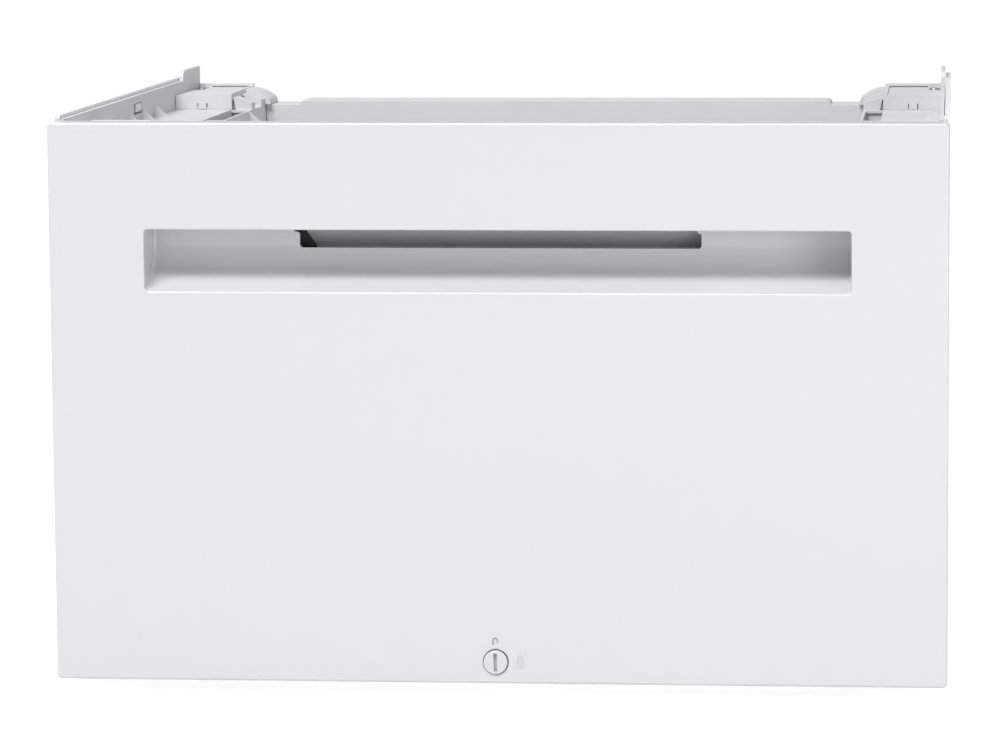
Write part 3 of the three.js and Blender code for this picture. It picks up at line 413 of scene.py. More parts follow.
def loose_object(name, bm):
    """A bmesh as an object in the scene, still in millimetres."""
    mesh = bpy.data.meshes.new(name)
    bm.to_mesh(mesh)
    bm.free()
    made = bpy.data.objects.new(name, mesh)
    bpy.context.scene.collection.objects.link(made)
    return made


def combined(base, steps):
    """Joins or cuts a bmesh with others. Each step is ("UNION" or "DIFFERENCE", bmesh)."""
    whole = loose_object("work", base)
    others = []
    for operation, bm in steps:
        other = loose_object("work_tool", bm)
        modifier = whole.modifiers.new("step", "BOOLEAN")
        modifier.operation = operation
        modifier.solver = "EXACT"
        modifier.object = other
        others.append(other)
    graph = bpy.context.evaluated_depsgraph_get()
    evaluated = whole.evaluated_get(graph)
    result = bmesh.new()
    result.from_mesh(evaluated.to_mesh())
    evaluated.to_mesh_clear()
    for thing in (whole, *others):
        mesh = thing.data
        bpy.data.objects.remove(thing)
        bpy.data.meshes.remove(mesh)
    bmesh.ops.remove_doubles(result, verts=result.verts, dist=MERGE_DISTANCE)
    bmesh.ops.dissolve_limit(result, angle_limit=FLAT_ANGLE, verts=result.verts, edges=result.edges)
    if not result.faces:
        raise RuntimeError("joining or cutting left nothing")
    return result


def gathered(parts):
    """Several bmeshes as one, side by side and not joined."""
    whole = bmesh.new()
    for part in parts:
        mesh = bpy.data.meshes.new("part")
        part.to_mesh(mesh)
        part.free()
        whole.from_mesh(mesh)
        bpy.data.meshes.remove(mesh)
    return whole


def stamped(template, matrices):
    """Copies of one bmesh at several places, as one bmesh."""
    mesh = bpy.data.meshes.new("template")
    template.to_mesh(mesh)
    template.free()
    whole = bmesh.new()
    for matrix in matrices:
        first = len(whole.verts)
        whole.from_mesh(mesh)
        whole.verts.ensure_lookup_table()
        bmesh.ops.transform(whole, matrix=matrix, verts=whole.verts[first:])
    bmesh.ops.recalc_face_normals(whole, faces=whole.faces)
    bpy.data.meshes.remove(mesh)
    return whole


def piece(name, bm, finish, body, replaced=(), smooth=32):
    """A bmesh in millimetres as a finished piece that rides on a body. Edges that turn by more than
    `smooth` degrees stay sharp."""
    bmesh.ops.scale(bm, vec=(MM, MM, MM), verts=bm.verts)
    made = loose_object(name, bm)
    for face in made.data.polygons:
        face.use_smooth = True
    made.data.set_sharp_from_angle(angle=math.radians(smooth))
    made.data.materials.append(finish_named(finish))
    # Large flat faces keep their own normal beside rounded edges.
    weighted = made.modifiers.new("face weighted normals", "WEIGHTED_NORMAL")
    weighted.keep_sharp = True
    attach(made, body)
    if replaced:
        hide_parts(*replaced)
    return made


# ---------------------------------------------------------------- the front panel

PANEL_SKIN = 2.5
PANEL_DEEP = 20
# Heights of the recess and the slot are measured down from LEVEL.
RECESS_HALF = 235
RECESS_TOP = 72.5
RECESS_LOW = 114
RECESS_DEEP = 35
RECESS_CLIMB = 13  # the floor climbs this much to the back
RECESS_ROUND = 15  # fillet between floor and back
SLOT_LEFT, SLOT_RIGHT = -135.6, 134.4
SLOT_TOP = 75.7  # below this height the slot shows under the recess's upper edge
SLOT_LOW = 87.5
CUT_PAST = 4  # cutting shapes start this far before the face


def recess_section(grow, start, steps):
    """Section of the handle recess in Y and Z: a flat top, an upright back, and a floor that climbs
    to the back and turns up in a fillet."""
    end = RECESS_DEEP + grow
    turn = RECESS_ROUND + grow

    def floor(distance):
        return under(RECESS_LOW + grow) + RECESS_CLIMB * distance / RECESS_DEEP

    corner = (deep(end), floor(end))
    first = (deep(end), floor(end) + turn)
    last = (deep(end - turn), floor(end - turn))
    bend = []
    for i in range(steps + 1):
        t = i / steps
        bend.append(tuple((1 - t) ** 2 * first[k] + 2 * t * (1 - t) * corner[k] + t * t * last[k]
                          for k in (0, 1)))
    return [(deep(start), under(RECESS_TOP - grow)), (deep(end), under(RECESS_TOP - grow)), *bend,
            (deep(start), floor(start))]


def grip_slot_outline():
    """Outline of the grip slot in X and Z: round lower corners, a pointed lip at its upper left
    end and a small nib in its upper right corner."""
    top, low = under(SLOT_TOP - 3), under(SLOT_LOW)
    return [
        *arc(SLOT_LEFT + 2.4, low + 2.4, 2.4, 180, 270, 5),
        *arc(SLOT_RIGHT - 2, low + 2, 2, 270, 360, 5),
        *arc(SLOT_RIGHT - 0.6, under(SLOT_TOP + 1.9) - 0.6, 0.6, 0, 90, 3),
        (SLOT_RIGHT - 1.8, under(SLOT_TOP + 1.9)),
        (SLOT_RIGHT - 2.6, under(SLOT_TOP + 0.6)),
        (SLOT_RIGHT - 3.4, top),
        (SLOT_LEFT - 3.8, top),
        (SLOT_LEFT - 3.8, under(SLOT_TOP + 0.6)),
        (SLOT_LEFT, under(SLOT_TOP + 1.9)),
    ]


class PEDESTAL_OT_front_panel(bpy.types.Operator):
    """Makes the white front panel: a moulded shell with returned edges, the handle recess and the
    grip slot in it"""

    bl_idname = "pedestal.front_panel"
    bl_label = "Front panel"

    def execute(self, context):
        sizes = context.scene.pedestal_sizes
        corner = sizes.panel_corner / MM
        edge = sizes.panel_edge / MM
        blank = prism(rounded(-HALF, HALF, PANEL_BOTTOM, PANEL_TOP, corner, 6), "y", FACE_Y, deep(PANEL_DEEP))
        round_edges(blank, lambda e: lies_at(e, "y", FACE_Y), edge, 4)
        inside = box((PANEL_SKIN - HALF, deep(PANEL_SKIN), PANEL_BOTTOM + PANEL_SKIN),
                     (HALF - PANEL_SKIN, deep(PANEL_DEEP + 5), PANEL_TOP - PANEL_SKIN))
        bowl = prism(recess_section(PANEL_SKIN, PANEL_SKIN / 2, 8), "x", -RECESS_HALF - PANEL_SKIN,
                     RECESS_HALF + PANEL_SKIN)
        hollow = prism(recess_section(0, -CUT_PAST, 12), "x", -RECESS_HALF, RECESS_HALF)
        round_edges(hollow, lambda e: any(lies_at(e, "x", s * RECESS_HALF) for s in (-1, 1))
                    and not lies_at(e, "y", deep(-CUT_PAST)), sizes.recess_corner / MM, 4)
        slot = prism(grip_slot_outline(), "y", deep(RECESS_DEEP - 3), deep(RECESS_DEEP + 6))
        # The gap round the knob is a little wider at its upper right.
        knob_hole = prism(circle(LOCK_X + 0.2, LOCK_Z + 0.25, sizes.knob_hole / MM, 40),
                          "y", deep(-3), deep(6))
        shell = combined(blank, [("DIFFERENCE", inside), ("UNION", bowl), ("DIFFERENCE", hollow),
                                 ("DIFFERENCE", knob_hole)])

        def on_opening(e):
            middle = (e.verts[0].co + e.verts[1].co) / 2
            return (lies_at(e, "y", FACE_Y) and is_sharp(e) and abs(middle.x) < RECESS_HALF + 1
                    and under(RECESS_LOW + 1) < middle.z < under(RECESS_TOP - 1))

        round_edges(shell, on_opening, sizes.recess_edge / MM, 4)
        # What is still sharp on the face is the rim of the knob's hole.
        round_edges(shell, lambda e: lies_at(e, "y", FACE_Y) and is_sharp(e), 0.4, 2)
        shell = combined(shell, [("DIFFERENCE", slot)])
        round_edges(shell, lambda e: lies_at(e, "y", deep(RECESS_DEEP)) and is_sharp(e)
                    and all(v.co.z < under(SLOT_TOP + 1) for v in e.verts), 0.5, 2)
        piece("front_panel_shell", shell, "panel", "drawer", ["front_panel"], 30)
        return {"FINISHED"}


class PEDESTAL_OT_grip_cavity(bpy.types.Operator):
    """Makes the closed cup behind the grip slot, whose back wall leans forward to the top, in a grey that
    paints shade, and the dark plug in the pocket at its left end, which is a painted shadow"""

    bl_idname = "pedestal.grip_cavity"
    bl_label = "Finger cavity"

    def execute(self, context):
        low, high = node_box("grip_cavity")
        wall, gap = 1.2, 0.1
        pocket_foot, pocket_top = 14, 7  # width of the pocket at its foot and at its top
        plug_front = low.y + 5
        left, right = low.x - 3.2, high.x - 1.6
        foot, top, rear = low.z + wall, under(SLOT_TOP - 1.5), high.y - wall
        lean = prism([(low.y - 1, foot), (rear, foot), (rear, foot + 1), (low.y + 2.2, top),
                      (low.y - 1, top)], "x", left + 6, right)
        pocket = prism([(left, foot), (left + pocket_foot, foot), (left + pocket_top, top), (left, top)],
                       "y", low.y - 1, rear)
        shell = box((left - wall, low.y, low.z), high)
        cup = combined(shell, [("DIFFERENCE", lean), ("DIFFERENCE", pocket)])
        piece("grip_cup", cup, "cavity", "drawer", ["grip_cavity"])
        # The dark plug is painted shadow: a dark piece set where the left end of the cup lies in shade.
        plug = prism([(left + gap, foot + gap), (left + pocket_foot - 2 * gap, foot + gap),
                      (left + pocket_top - gap, top - gap), (left + gap, top - gap)],
                     "y", plug_front, rear - gap)
        round_edges(plug, lambda e: lies_at(e, "y", plug_front), 4, 6)
        piece("pocket_painted_shadow_plug", plug, "rubber", "drawer")
        return {"FINISHED"}


# ---------------------------------------------------------------- the lock

COIN_SLOT_DEEP = 3.0
COIN_SLOT_LEAN = math.radians(-2)


def padlock_mark(x, low, body_high, bow_high, lift):
    """Reliefs of a small padlock's body and shackle. The shackle's right leg ends `lift` above the
    body."""
    wide, proud, rooted = 4.6, 0.35, 0.3
    outer, inner = 1.85, 1.05  # radii of the shackle's bow
    body = prism(rounded(x - wide / 2, x + wide / 2, low, low + body_high, 0.5, 3),
                 "y", deep(-proud), deep(rooted))
    foot = low + body_high + 0.05
    top = low + body_high + bow_high - outer
    shackle = prism([(x + outer, foot + lift), *arc(x, top, outer, 0, 180, 8), (x - outer, foot),
                     (x - inner, foot), *arc(x, top, inner, 180, 0, 8), (x + inner, foot + lift)],
                    "y", deep(-proud), deep(rooted))
    return [round_edges(mark, lambda e: lies_at(e, "y", deep(-proud)) and is_sharp(e), 0.12, 2)
            for mark in (body, shackle)]


class PEDESTAL_OT_lock(bpy.types.Operator):
    """Makes the coin knob with its slot and spindle, and the padlock reliefs above and beside it"""

    bl_idname = "pedestal.lock"
    bl_label = "Lock"

    def execute(self, context):
        sizes = context.scene.pedestal_sizes
        radius = (KNOB_HIGH.x - KNOB_LOW.x) / 2 - 0.6
        proud = FACE_Y - KNOB_LOW.y
        end = KNOB_HIGH.y - FACE_Y
        centre = (LOCK_X, FACE_Y, LOCK_Z)
        profile = [(0, -proud), (radius - 0.8, -proud), (radius - 0.4, -proud + 0.15),
                   (radius - 0.1, -proud + 0.5), (radius, -proud + 0.9), (radius, 2.4), (4, 2.5),
                   (4, end - 0.5), (3.5, end), (0, end)]
        knob = lathe(profile, centre, "y", 64)
        half_wide, half_long = sizes.coin_slot_width / MM / 2, sizes.coin_slot_length / MM / 2
        slot = prism(rounded(LOCK_X - half_wide, LOCK_X + half_wide, LOCK_Z - half_long, LOCK_Z + half_long,
                             half_wide * 0.4, 3), "y", deep(-proud - 2), deep(-proud + COIN_SLOT_DEEP))
        bmesh.ops.rotate(slot, cent=centre, matrix=Matrix.Rotation(COIN_SLOT_LEAN, 3, "Y"), verts=slot.verts)
        knob = combined(knob, [("DIFFERENCE", slot)])
        round_edges(knob, lambda e: lies_at(e, "y", deep(-proud)) and is_sharp(e), 0.2, 2)
        piece("coin_knob", knob, "knob", "lock", ["lock_knob"], 30)
        body, shackle = padlock_mark(LOCK_X - 0.1, LOCK_Z + sizes.mark_up / MM, body_high=2.4, bow_high=4.9,
                                     lift=1.3)
        closed = padlock_mark(LOCK_X + sizes.mark_right / MM, LOCK_Z - 3.4, body_high=4.2, bow_high=4.4,
                              lift=0)
        piece("open_padlock_body", body, "panel", "drawer", smooth=30)
        # The open shackle's grey ink and the closed mark's pale ink paint the shade of the embossed reliefs.
        piece("open_padlock_shackle", shackle, "ink", "drawer", smooth=30)
        piece("closed_padlock", gathered(closed), "pale_ink", "drawer", smooth=30)
        return {"FINISHED"}


# ---------------------------------------------------------------- caps, screws, rivets, feet

SIDES = (("left", -1), ("right", 1))
SLIDE_LEVEL = 162  # height of the slides' middle line


def inward(side, distance):
    """X of a point that far in from one side's outer face."""
    return side * (HALF - distance)


class PEDESTAL_OT_wall_caps(bpy.types.Operator):
    """Makes the small round-topped cap that bridges the outer sheet and the liner at the front end
    of each side"""

    bl_idname = "pedestal.wall_caps"
    bl_label = "Side wall caps"

    def execute(self, context):
        low, high = node_box("left_side_sheet")
        front, top = low.y, high.z
        size, turn, past = 6, 2.4, 0.2  # the cap, its round corner, and how far it stands past the sheet
        middle = turn - past
        outline = [(front - past, top - size), (front + size, top - size), (front + size, top - past),
                   *arc(front + middle, top - middle, turn, 60, 180, 8)]
        for name, side in SIDES:
            cap = prism(outline, "x", inward(side, 1.0), inward(side, 4.2))
            round_edges(cap, is_sharp, 0.4, 2)
            piece(f"{name}_wall_cap", cap, "grey", "cabinet")
        return {"FINISHED"}


class PEDESTAL_OT_block_webs(bpy.types.Operator):
    """Makes the thin webs of the rear blocks: one under the first gusset, which closes the side run
    behind its low cross rib, and one inside the slit beside the gusset"""

    bl_idname = "pedestal.block_webs"
    bl_label = "Rear block webs"

    def execute(self, context):
        block_start = 115  # from the node's front end to the front face of the block itself
        start = node_box("rear_left_corner_block")[0].y + block_start
        for name, side in SIDES:
            ends = sorted((inward(side, 51.4), inward(side, 63.3)))
            foot = box((ends[0], start + 2, under(43)), (ends[1], start + 3.2, under(23.2)))
            slit = prism([(inward(side, 50.6), under(20.8)), (inward(side, 53.2), under(20.8)),
                          (inward(side, 51.4), under(13.4)), (inward(side, 50.6), under(13.4))],
                         "y", start + 7, start + 8.5)
            piece(f"{name}_block_webs", gathered([foot, slit]), "grey", "cabinet")
        return {"FINISHED"}


TURN_TO = {
    "-y": Matrix.Rotation(math.radians(90), 4, "X"),
    "+y": Matrix.Rotation(math.radians(-90), 4, "X"),
    "+z": Matrix.Identity(4),
    "+x": Matrix.Rotation(math.radians(90), 4, "Y"),
    "-x": Matrix.Rotation(math.radians(-90), 4, "Y"),
}


def screw_template(radius, high, shank, length):
    """A pan head screw standing on the origin with its head up +Z: a domed head with a cross
    recess, and a plain shank below."""
    profile = [(0, -length), (shank * 0.6, -length), (shank, -length + shank), (shank, 0), (radius, 0),
               (radius, high * 0.3), (radius * 0.92, high * 0.65), (radius * 0.7, high * 0.92),
               (radius * 0.35, high), (0, high)]
    arm, wide, floor = radius * 0.55, radius * 0.14, high * 0.35
    return combined(lathe(profile, (0, 0, 0), "z", 24),
                    [("DIFFERENCE", box((-arm, -wide, floor), (arm, wide, high + 1))),
                     ("DIFFERENCE", box((-wide, -arm, floor), (wide, arm, high + 1)))])


def rivet_template(radius, high, shank, length):
    """A blind rivet standing on the origin: a low dome with the dimple that its mandrel leaves."""
    profile = [(0, -length), (shank, -length), (shank, 0), (radius, 0), (radius, high * 0.25),
               (radius * 0.8, high * 0.8), (radius * 0.45, high), (radius * 0.38, high),
               (radius * 0.34, high * 0.55), (0, high * 0.5)]
    return lathe(profile, (0, 0, 0), "z", 24)


def standing(places, direction):
    """Matrices that put a template at each place, its head pointing in the given direction, each
    turned a little further than the last."""
    turn_each = 0.7  # radians
    return [Matrix.Translation(place) @ TURN_TO[direction] @ Matrix.Rotation(turn_each * i, 4, "Z")
            for i, place in enumerate(places)]


class PEDESTAL_OT_screws(bpy.types.Operator):
    """Makes the screws of the rear panel, strike, wall clips, slides, brackets and front panel"""

    bl_idname = "pedestal.screws"
    bl_label = "Screws"

    def execute(self, context):
        low = node_box("left_side_sheet")[0].z
        strike_low = node_box("lock_strike")[0].z
        rear = node_box("rear_panel")[1].y
        clip_low, clip_high = node_box("left_wall_clip")
        clip_middle = (clip_low.y + clip_high.y) / 2
        # Body, direction of the heads, measures of the screw, and places on the holes of the nodes.
        groups = {
            "rear_panel_screws": ("cabinet", "+y", (4, 1.5, 1.7, 6), [
                (side * 289.2, deep(544.5), low + h) for _, side in SIDES for h in (30, 130, 230, 330)]),
            "strike_screws": ("cabinet", "-y", (3.4, 1.2, 1.7, 4), [
                (x, deep(34.2), strike_low + 11) for x in (9.5, 19.5)]),
            "front_panel_screws": ("drawer", "+y", (4, 1.5, 1.7, 8), [
                *[(side * 281, deep(21.5), PANEL_BOTTOM + h) for _, side in SIDES
                  for h in (18, 127.5, 247.5, 357)],
                *[(side * 150, deep(21.5), PANEL_BOTTOM + 18) for _, side in SIDES]]),
            "bracket_screws": ("drawer", "+y", (4, 1.5, 1.7, 3), [
                (side * 150, deep(45.2), PANEL_BOTTOM + h) for _, side in SIDES for h in (90, 180)]),
            "wall_clip_screws": ("cabinet", "+z", (3.2, 1.3, 1.7, 8), [
                (inward(side, 12.3), clip_middle, clip_high.z) for _, side in SIDES]),
        }
        for name, side in SIDES:
            groups[f"{name}_slide_screws"] = ("cabinet", "-x" if side > 0 else "+x", (3.9, 1.1, 1.7, 6), [
                (inward(side, 50.7), deep(d), SLIDE_LEVEL) for d in (70, 96, 452, 484)])
        for name, (body, direction, template, places) in groups.items():
            screws = stamped(screw_template(*template), standing(places, direction))
            piece(name, screws, "zinc", body, smooth=40)
        if any((o.matrix_world @ Vector(c)).y > (rear + 0.01) * MM
               for o in bpy.data.objects if o.name == "rear_panel_screws" for c in o.bound_box):
            raise RuntimeError("the rear screws stand out behind the rear panel's ribs")
        return {"FINISHED"}


def shares_of_length(name, shares):
    """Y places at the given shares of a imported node's length."""
    low, high = node_box(name)
    return [low.y + share * (high.y - low.y) for share in shares]


class PEDESTAL_OT_rivets(bpy.types.Operator):
    """Makes the rivets of the drawer's slides and floor"""

    bl_idname = "pedestal.rivets"
    bl_label = "Rivets"

    def execute(self, context):
        rail_places = shares_of_length("left_drawer_rail", (0.12, 0.4, 0.68, 0.92))
        floor_places = shares_of_length("drawer_floor", (0.08, 0.36, 0.64, 0.92))
        floor_top = node_box("drawer_floor")[0].z + 1.2
        for name, side in SIDES:
            heads = standing([(inward(side, 65.0), y, SLIDE_LEVEL) for y in rail_places],
                             "-x" if side > 0 else "+x")
            rivets = stamped(rivet_template(4, 1.2, 1.7, 2.6), heads)
            piece(f"{name}_slide_rivets", rivets, "zinc", "drawer", smooth=40)
        heads = standing([(inward(side, 72.8), y, floor_top) for _, side in SIDES for y in floor_places],
                         "+z")
        rivets = stamped(rivet_template(4, 1.2, 1.7, 2.2), heads)
        piece("floor_rivets", rivets, "zinc", "drawer", smooth=40)
        return {"FINISHED"}


def threaded_rod(radius, crest, pitch, low, high, x, y):
    """A rod with a helical thread: each ring of points is a step further along the turn."""
    bm = bmesh.new()
    steps = 24
    rows = int((high - low) / (pitch / 4))
    rings = []
    for row in range(rows + 1):
        z = low + (high - low) * row / rows
        ring = []
        for i in range(steps):
            turn = 2 * math.pi * i / steps
            phase = ((z - low) / pitch - i / steps) % 1.0
            fade = min(1.0, (z - low) / pitch, (high - z) / pitch)
            r = radius - crest * fade * abs(2 * phase - 1)
            ring.append(bm.verts.new((x + r * math.cos(turn), y + r * math.sin(turn), z)))
        rings.append(ring)
    for a, b in zip(rings, rings[1:]):
        for i in range(steps):
            j = (i + 1) % steps
            bm.faces.new((a[i], a[j], b[j], b[i]))
    bm.faces.new(list(reversed(rings[0])))
    bm.faces.new(rings[-1])
    bmesh.ops.recalc_face_normals(bm, faces=bm.faces)
    return bm


class PEDESTAL_OT_feet(bpy.types.Operator):
    """Makes the four levelling feet: a ribbed pad and a threaded stem with a hexagon collar"""

    bl_idname = "pedestal.feet"
    bl_label = "Levelling feet"

    def execute(self, context):
        for row in ("front", "rear"):
            for name, _ in SIDES:
                foot = f"{row}_{name}_foot"
                low, high = node_box(f"{foot}_pad")
                x, y = (low.x + high.x) / 2, (low.y + high.y) / 2
                radius, tall = (high.x - low.x) / 2, high.z
                profile = [(0, 0.6), (radius * 0.6, 0.6), (radius * 0.68, 0), (radius - 1.5, 0),
                           (radius, 1.2), (radius, tall * 0.5), (radius - 0.6, tall * 0.62),
                           (radius * 0.66, tall * 0.86), (radius * 0.6, tall), (5.6, tall),
                           (5.3, tall - 0.3), (5.3, tall * 0.35), (0, tall * 0.35)]
                pad = lathe(profile, (x, y, 0), "z", 64)
                piece(f"{foot}_pad_ribbed", pad, "dark", foot, [f"{foot}_pad"])
                stem_low, stem_high = node_box(f"{foot}_stem")
                rod = threaded_rod(radius=5.0, crest=0.75, pitch=1.75, low=stem_low.z, high=stem_high.z,
                                   x=x, y=y)
                seat = tall + 0.3
                collar = prism(circle(x, y, 8.5, 6), "z", seat, seat + 4)
                round_edges(collar, lambda e: is_sharp(e) and not lies_at(e, "z", seat), 0.6, 2)
                stem = gathered([rod, collar])
                piece(f"{foot}_stem_threaded", stem, "zinc", foot, [f"{foot}_stem"], 40)
        return {"FINISHED"}


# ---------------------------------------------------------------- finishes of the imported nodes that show

FINISH_OF_NODES = {
    "paint": ("side_sheet", "drawer_left_wall", "drawer_right_wall", "drawer_floor", "drawer_front_wall",
              "drawer_rear_wall"),
    "panel": ("slot_clip",),
    "grey": ("side_liner", "corner_block", "cross_member", "lock_housing"),
    "galvanised": ("base_rail", "_post", "rear_panel", "panel_bracket", "panel_back_plate"),
    "zinc": ("wall_clip", "fixed_rail", "middle_rail", "drawer_rail", "lock_strike", "lock_cam", "foot_nut"),
    "rubber": ("buffer",),
}
# Width of the broken edges, in mm
EDGE_OF_FINISH = {"paint": 0.25, "panel": 0.3, "grey": 0.3, "galvanised": 0.3, "zinc": 0.25, "rubber": 0.5}


class PEDESTAL_OT_node_finishes(bpy.types.Operator):
    """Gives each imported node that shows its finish, and breaks its sharp edges"""

    bl_idname = "pedestal.node_finishes"
    bl_label = "Finishes of the packed parts"

    def execute(self, context):
        for name, node in NODES.items():
            if node.hide_render:
                continue
            found = [finish for finish, parts in FINISH_OF_NODES.items() if any(p in name for p in parts)]
            if len(found) != 1:
                raise RuntimeError(f"{name} has {len(found)} finishes")
            for slot in node.material_slots:
                slot.material = finish_named(found[0])
            weld = node.modifiers.new("weld", "WELD")
            weld.merge_threshold = 0.01 * MM
            flat = node.modifiers.new("flat faces", "DECIMATE")
            flat.decimate_type = "DISSOLVE"
            flat.angle_limit = math.radians(1)
            edge = node.modifiers.new("broken edges", "BEVEL")
            edge.width = EDGE_OF_FINISH[found[0]] * MM
            edge.segments = 2
            edge.limit_method = "ANGLE"
            edge.angle_limit = SHARP_ANGLE
        return {"FINISHED"}


# ---------------------------------------------------------------- stage, light and camera

def backdrop_material(colour, glow):
    """Matt white floor. What the camera sees of it is lifted to white, and the shadow on it stays."""
    material, tree, shader, place = new_material("matt_white_floor", {"Roughness": 0.9})
    cloud = add(tree, "ShaderNodeTexNoise", {"Scale": 1.5, "Detail": 1.0}, {"Vector": place})
    shades = ramp(tree, (cloud, "Fac"), [(0.3, colour), (0.7, scaled(colour, 0.99))])
    tree.links.new(shades.outputs["Color"], shader.inputs["Base Color"])
    light = add(tree, "ShaderNodeMath", {"operation": "MULTIPLY"},
                {0: rays_that_see(tree, "Is Camera Ray", "Is Glossy Ray")})
    light.inputs[1].default_value = glow
    lift = add(tree, "ShaderNodeEmission", links={"Strength": (light, "Value")})
    both = add(tree, "ShaderNodeAddShader")
    tree.links.new(shader.outputs["BSDF"], both.inputs[0])
    tree.links.new(lift.outputs["Emission"], both.inputs[1])
    output = next(n for n in tree.nodes if n.type == "OUTPUT_MATERIAL")
    tree.links.new(both.outputs["Shader"], output.inputs["Surface"])
    return material


def area_light(name, place, target, width, height, power):
    """A soft rectangular lamp that faces a point; places in metres."""
    data = bpy.data.lights.new(name, "AREA")
    data.shape = "RECTANGLE"
    data.size, data.size_y = width, height
    data.energy = power
    lamp = bpy.data.objects.new(name, data)
    lamp.location = place
    lamp.rotation_euler = (Vector(target) - Vector(place)).to_track_quat("-Z", "Y").to_euler()
    bpy.context.scene.collection.objects.link(lamp)


def studio_floor(glow):
    """The pale floor that the pedestal stands on."""
    half, thick = 6000, 20
    mesh = box((-half, -half, -thick), (half, half, 0))
    bmesh.ops.scale(mesh, vec=(MM, MM, MM), verts=mesh.verts)
    floor = loose_object("studio_floor", mesh)
    floor.data.materials.append(backdrop_material(linear("#D8D8D8"), glow))


def white_surround(light):
    """A world that is white where it is seen, and lights the object at the given strength."""
    world = bpy.data.worlds.new("white_surround")
    world.use_nodes = True
    tree = world.node_tree
    tree.nodes.clear()
    strength = add(tree, "ShaderNodeMapRange", {"To Min": light, "To Max": 1.0},
                   {"Value": rays_that_see(tree, "Is Camera Ray", "Is Transmission Ray")})
    background = add(tree, "ShaderNodeBackground", {"Color": (1, 1, 1, 1)},
                     {"Strength": (strength, "Result")})
    add(tree, "ShaderNodeOutputWorld", links={"Surface": (background, "Background")})
    bpy.context.scene.world = world


CAMERA_PLACE = (0.3008, -3.0581, 0.5738)  # metres
CAMERA_TURN = (-0.07823, -0.11225, -0.0044)  # yaw, pitch and roll in radians; yaw 0 looks along +Y
CAMERA_LENS = 153.33  # mm, on a sensor 36 mm wide
CAMERA_SHIFT = (-0.12, -0.06)


def main_camera():
    """The camera of the main view."""
    data = bpy.data.cameras.new("main_camera")
    data.sensor_width = 36.0
    data.lens = CAMERA_LENS
    data.shift_x, data.shift_y = CAMERA_SHIFT
    data.clip_start, data.clip_end = 0.1, 50
    data.dof.use_dof = False
    camera = bpy.data.objects.new("main_camera", data)
    yaw, pitch, roll = CAMERA_TURN
    ahead = Vector((math.sin(yaw) * math.cos(pitch), math.cos(yaw) * math.cos(pitch), math.sin(pitch)))
    across = Vector((math.cos(yaw), -math.sin(yaw), 0))
    upward = across.cross(ahead)
    turned = (across * math.cos(roll) + upward * math.sin(roll),
              upward * math.cos(roll) - across * math.sin(roll))
    camera.matrix_world = Matrix.Translation(CAMERA_PLACE) @ Matrix(
        [[turned[0][i], turned[1][i], -ahead[i]] for i in range(3)]).to_4x4()
    bpy.context.scene.collection.objects.link(camera)
    bpy.context.scene.camera = camera


class PEDESTAL_OT_stage(bpy.types.Operator):
    """Makes the pale floor, the white surround, the lamps and the camera"""

    bl_idname = "pedestal.stage"
    bl_label = "Stage, light and camera"

    def execute(self, context):
        light = context.scene.pedestal_light
        studio_floor(light.floor_glow)
        white_surround(light.surround)
        area_light("front_softbox", (-0.75, -1.85, 2.8), (0, -0.2, 0.2), 1.8, 0.7, light.front)
        area_light("left_softbox", (-1.0, 0.3, 2.3), (0.1, 0.0, 0.3), 1.4, 1.4, light.left)
        area_light("side_card", (1.25, -1.3, 0.35), (0, -0.27, 0.2), 0.7, 0.7, light.card)
        main_camera()
        context.scene.view_settings.view_transform = "Standard"
        return {"FINISHED"}


# ---------------------------------------------------------------- settings that a user would change

class PedestalSizes(bpy.types.PropertyGroup):
    """Sizes of the visible pieces"""

    panel_corner: bpy.props.FloatProperty(
        name="Panel corner", description="Radius of the panel's four corners", default=3.5 * MM,
        unit="LENGTH")
    panel_edge: bpy.props.FloatProperty(
        name="Panel edge", description="Rounding of the panel's front edges", default=1.6 * MM,
        unit="LENGTH")
    recess_corner: bpy.props.FloatProperty(
        name="Recess corner", description="Radius inside the ends of the handle recess",
        default=2.5 * MM, unit="LENGTH")
    recess_edge: bpy.props.FloatProperty(
        name="Recess edge", description="Rounding of the handle recess where it meets the face",
        default=1.0 * MM, unit="LENGTH")
    knob_hole: bpy.props.FloatProperty(
        name="Knob hole", description="Radius of the hole that the coin knob turns in",
        default=8.65 * MM, unit="LENGTH")
    coin_slot_width: bpy.props.FloatProperty(
        name="Coin slot width", description="Width of the slot in the knob", default=2.2 * MM,
        unit="LENGTH")
    coin_slot_length: bpy.props.FloatProperty(
        name="Coin slot length", description="Length of the slot in the knob", default=12.2 * MM,
        unit="LENGTH")
    mark_up: bpy.props.FloatProperty(
        name="Open mark height", description="Foot of the open padlock above the lock's axis",
        default=9.5 * MM, unit="LENGTH")
    mark_right: bpy.props.FloatProperty(
        name="Closed mark distance", description="Closed padlock relief beside the lock's axis",
        default=16.4 * MM, unit="LENGTH")


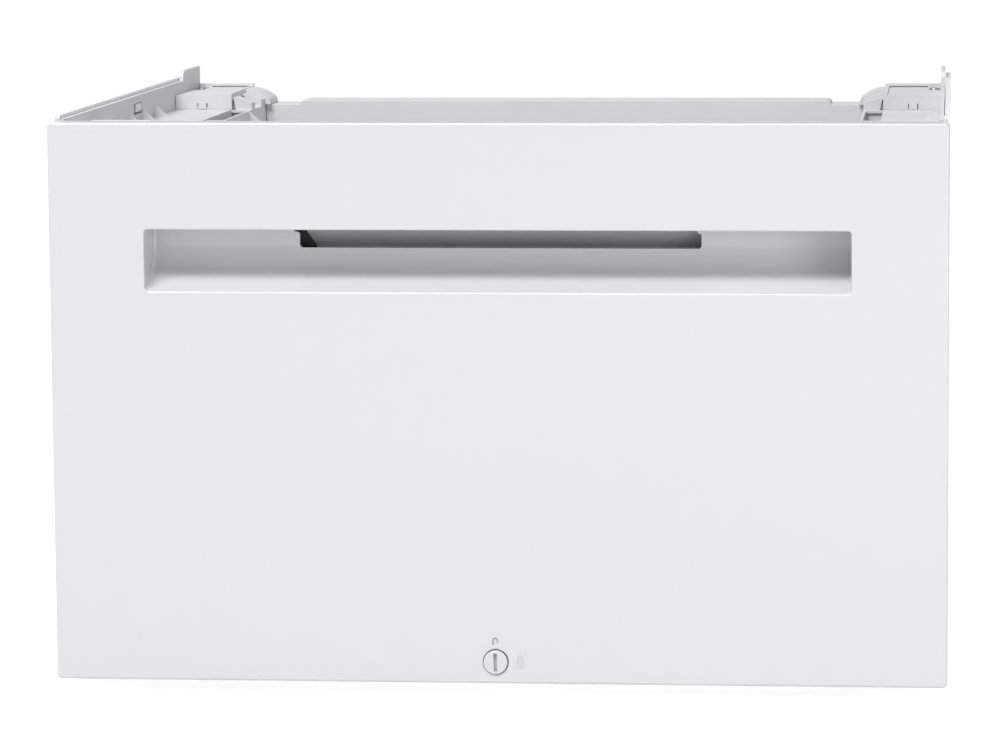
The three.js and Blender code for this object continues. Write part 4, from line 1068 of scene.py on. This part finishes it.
class PedestalColours(bpy.types.PropertyGroup):
    """Colours of the finishes"""

    panel: bpy.props.FloatVectorProperty(
        name="Front panel", description="Colour of the front panel", default=linear("#CFCFD1")[:3],
        subtype="COLOR", size=3, min=0, max=1)
    paint: bpy.props.FloatVectorProperty(
        name="Painted steel", description="Colour of the side sheets and the drawer",
        default=linear("#ECECEE")[:3], subtype="COLOR", size=3, min=0, max=1)
    moulding: bpy.props.FloatVectorProperty(
        name="Mouldings", description="Colour of the liners, blocks and cross members",
        default=linear("#D3D3D5")[:3], subtype="COLOR", size=3, min=0, max=1)
    knob: bpy.props.FloatVectorProperty(
        name="Knob", description="Colour of the coin knob", default=linear("#D0D0D1")[:3],
        subtype="COLOR", size=3, min=0, max=1)
    dark: bpy.props.FloatVectorProperty(
        name="Foot pads", description="Colour of the foot pads",
        default=linear("#4A4A4C")[:3], subtype="COLOR", size=3, min=0, max=1)
    # The cavity's default grey is painted shade: it darkens the cup behind the grip slot where shade falls.
    cavity: bpy.props.FloatVectorProperty(
        name="Finger cavity", description="Colour of the cavity behind the grip slot",
        default=linear("#B4B4B7")[:3], subtype="COLOR", size=3, min=0, max=1)


class PedestalLight(bpy.types.PropertyGroup):
    """Strength of the lamps and of the white surround"""

    surround: bpy.props.FloatProperty(
        name="Surround", description="Strength of the white surround's light", default=0.46, min=0)
    floor_glow: bpy.props.FloatProperty(
        name="Floor lift", description="How much the floor is lifted towards white where it is seen",
        default=0.86, min=0)
    front: bpy.props.FloatProperty(
        name="Front softbox", description="Power of the lamp above the front", default=90.0, min=0,
        unit="POWER")
    left: bpy.props.FloatProperty(
        name="Left softbox", description="Power of the lamp above the left side", default=9.0, min=0,
        unit="POWER")
    card: bpy.props.FloatProperty(
        name="Bright card", description="Power of the card at the right of the panel", default=6.0,
        min=0, unit="POWER")


OPERATORS = (
    PEDESTAL_OT_stage,
    PEDESTAL_OT_front_panel,
    PEDESTAL_OT_grip_cavity,
    PEDESTAL_OT_lock,
    PEDESTAL_OT_wall_caps,
    PEDESTAL_OT_block_webs,
    PEDESTAL_OT_screws,
    PEDESTAL_OT_rivets,
    PEDESTAL_OT_feet,
    PEDESTAL_OT_node_finishes,
)


class PEDESTAL_PT_build(bpy.types.Panel):
    """Lists the settings and the pieces in the order in which they are made"""

    bl_idname = "PEDESTAL_PT_build"
    bl_label = "Washer pedestal"
    bl_space_type = "VIEW_3D"
    bl_region_type = "UI"
    bl_category = "Pedestal"

    def draw(self, context):
        for title, group in (("Sizes", context.scene.pedestal_sizes),
                             ("Colours", context.scene.pedestal_colours),
                             ("Light", context.scene.pedestal_light)):
            column = self.layout.column()
            column.label(text=title)
            for name in type(group).__annotations__:
                column.prop(group, name)
        column = self.layout.column()
        column.label(text="Pieces")
        for operator in OPERATORS:
            column.operator(operator.bl_idname)


GROUPS = {"pedestal_sizes": PedestalSizes, "pedestal_colours": PedestalColours,
          "pedestal_light": PedestalLight}


def register():
    for group in GROUPS.values():
        bpy.utils.register_class(group)
    for operator in OPERATORS:
        bpy.utils.register_class(operator)
    bpy.utils.register_class(PEDESTAL_PT_build)
    for name, group in GROUPS.items():
        setattr(bpy.types.Scene, name, bpy.props.PointerProperty(type=group))


def unregister():
    for name in GROUPS:
        delattr(bpy.types.Scene, name)
    bpy.utils.unregister_class(PEDESTAL_PT_build)
    for operator in reversed(OPERATORS):
        bpy.utils.unregister_class(operator)
    for group in reversed(list(GROUPS.values())):
        bpy.utils.unregister_class(group)


def main():
    register()
    for operator in OPERATORS:
        area, name = operator.bl_idname.split(".")
        getattr(getattr(bpy.ops, area), name)()


if __name__ == "__main__":
    main()
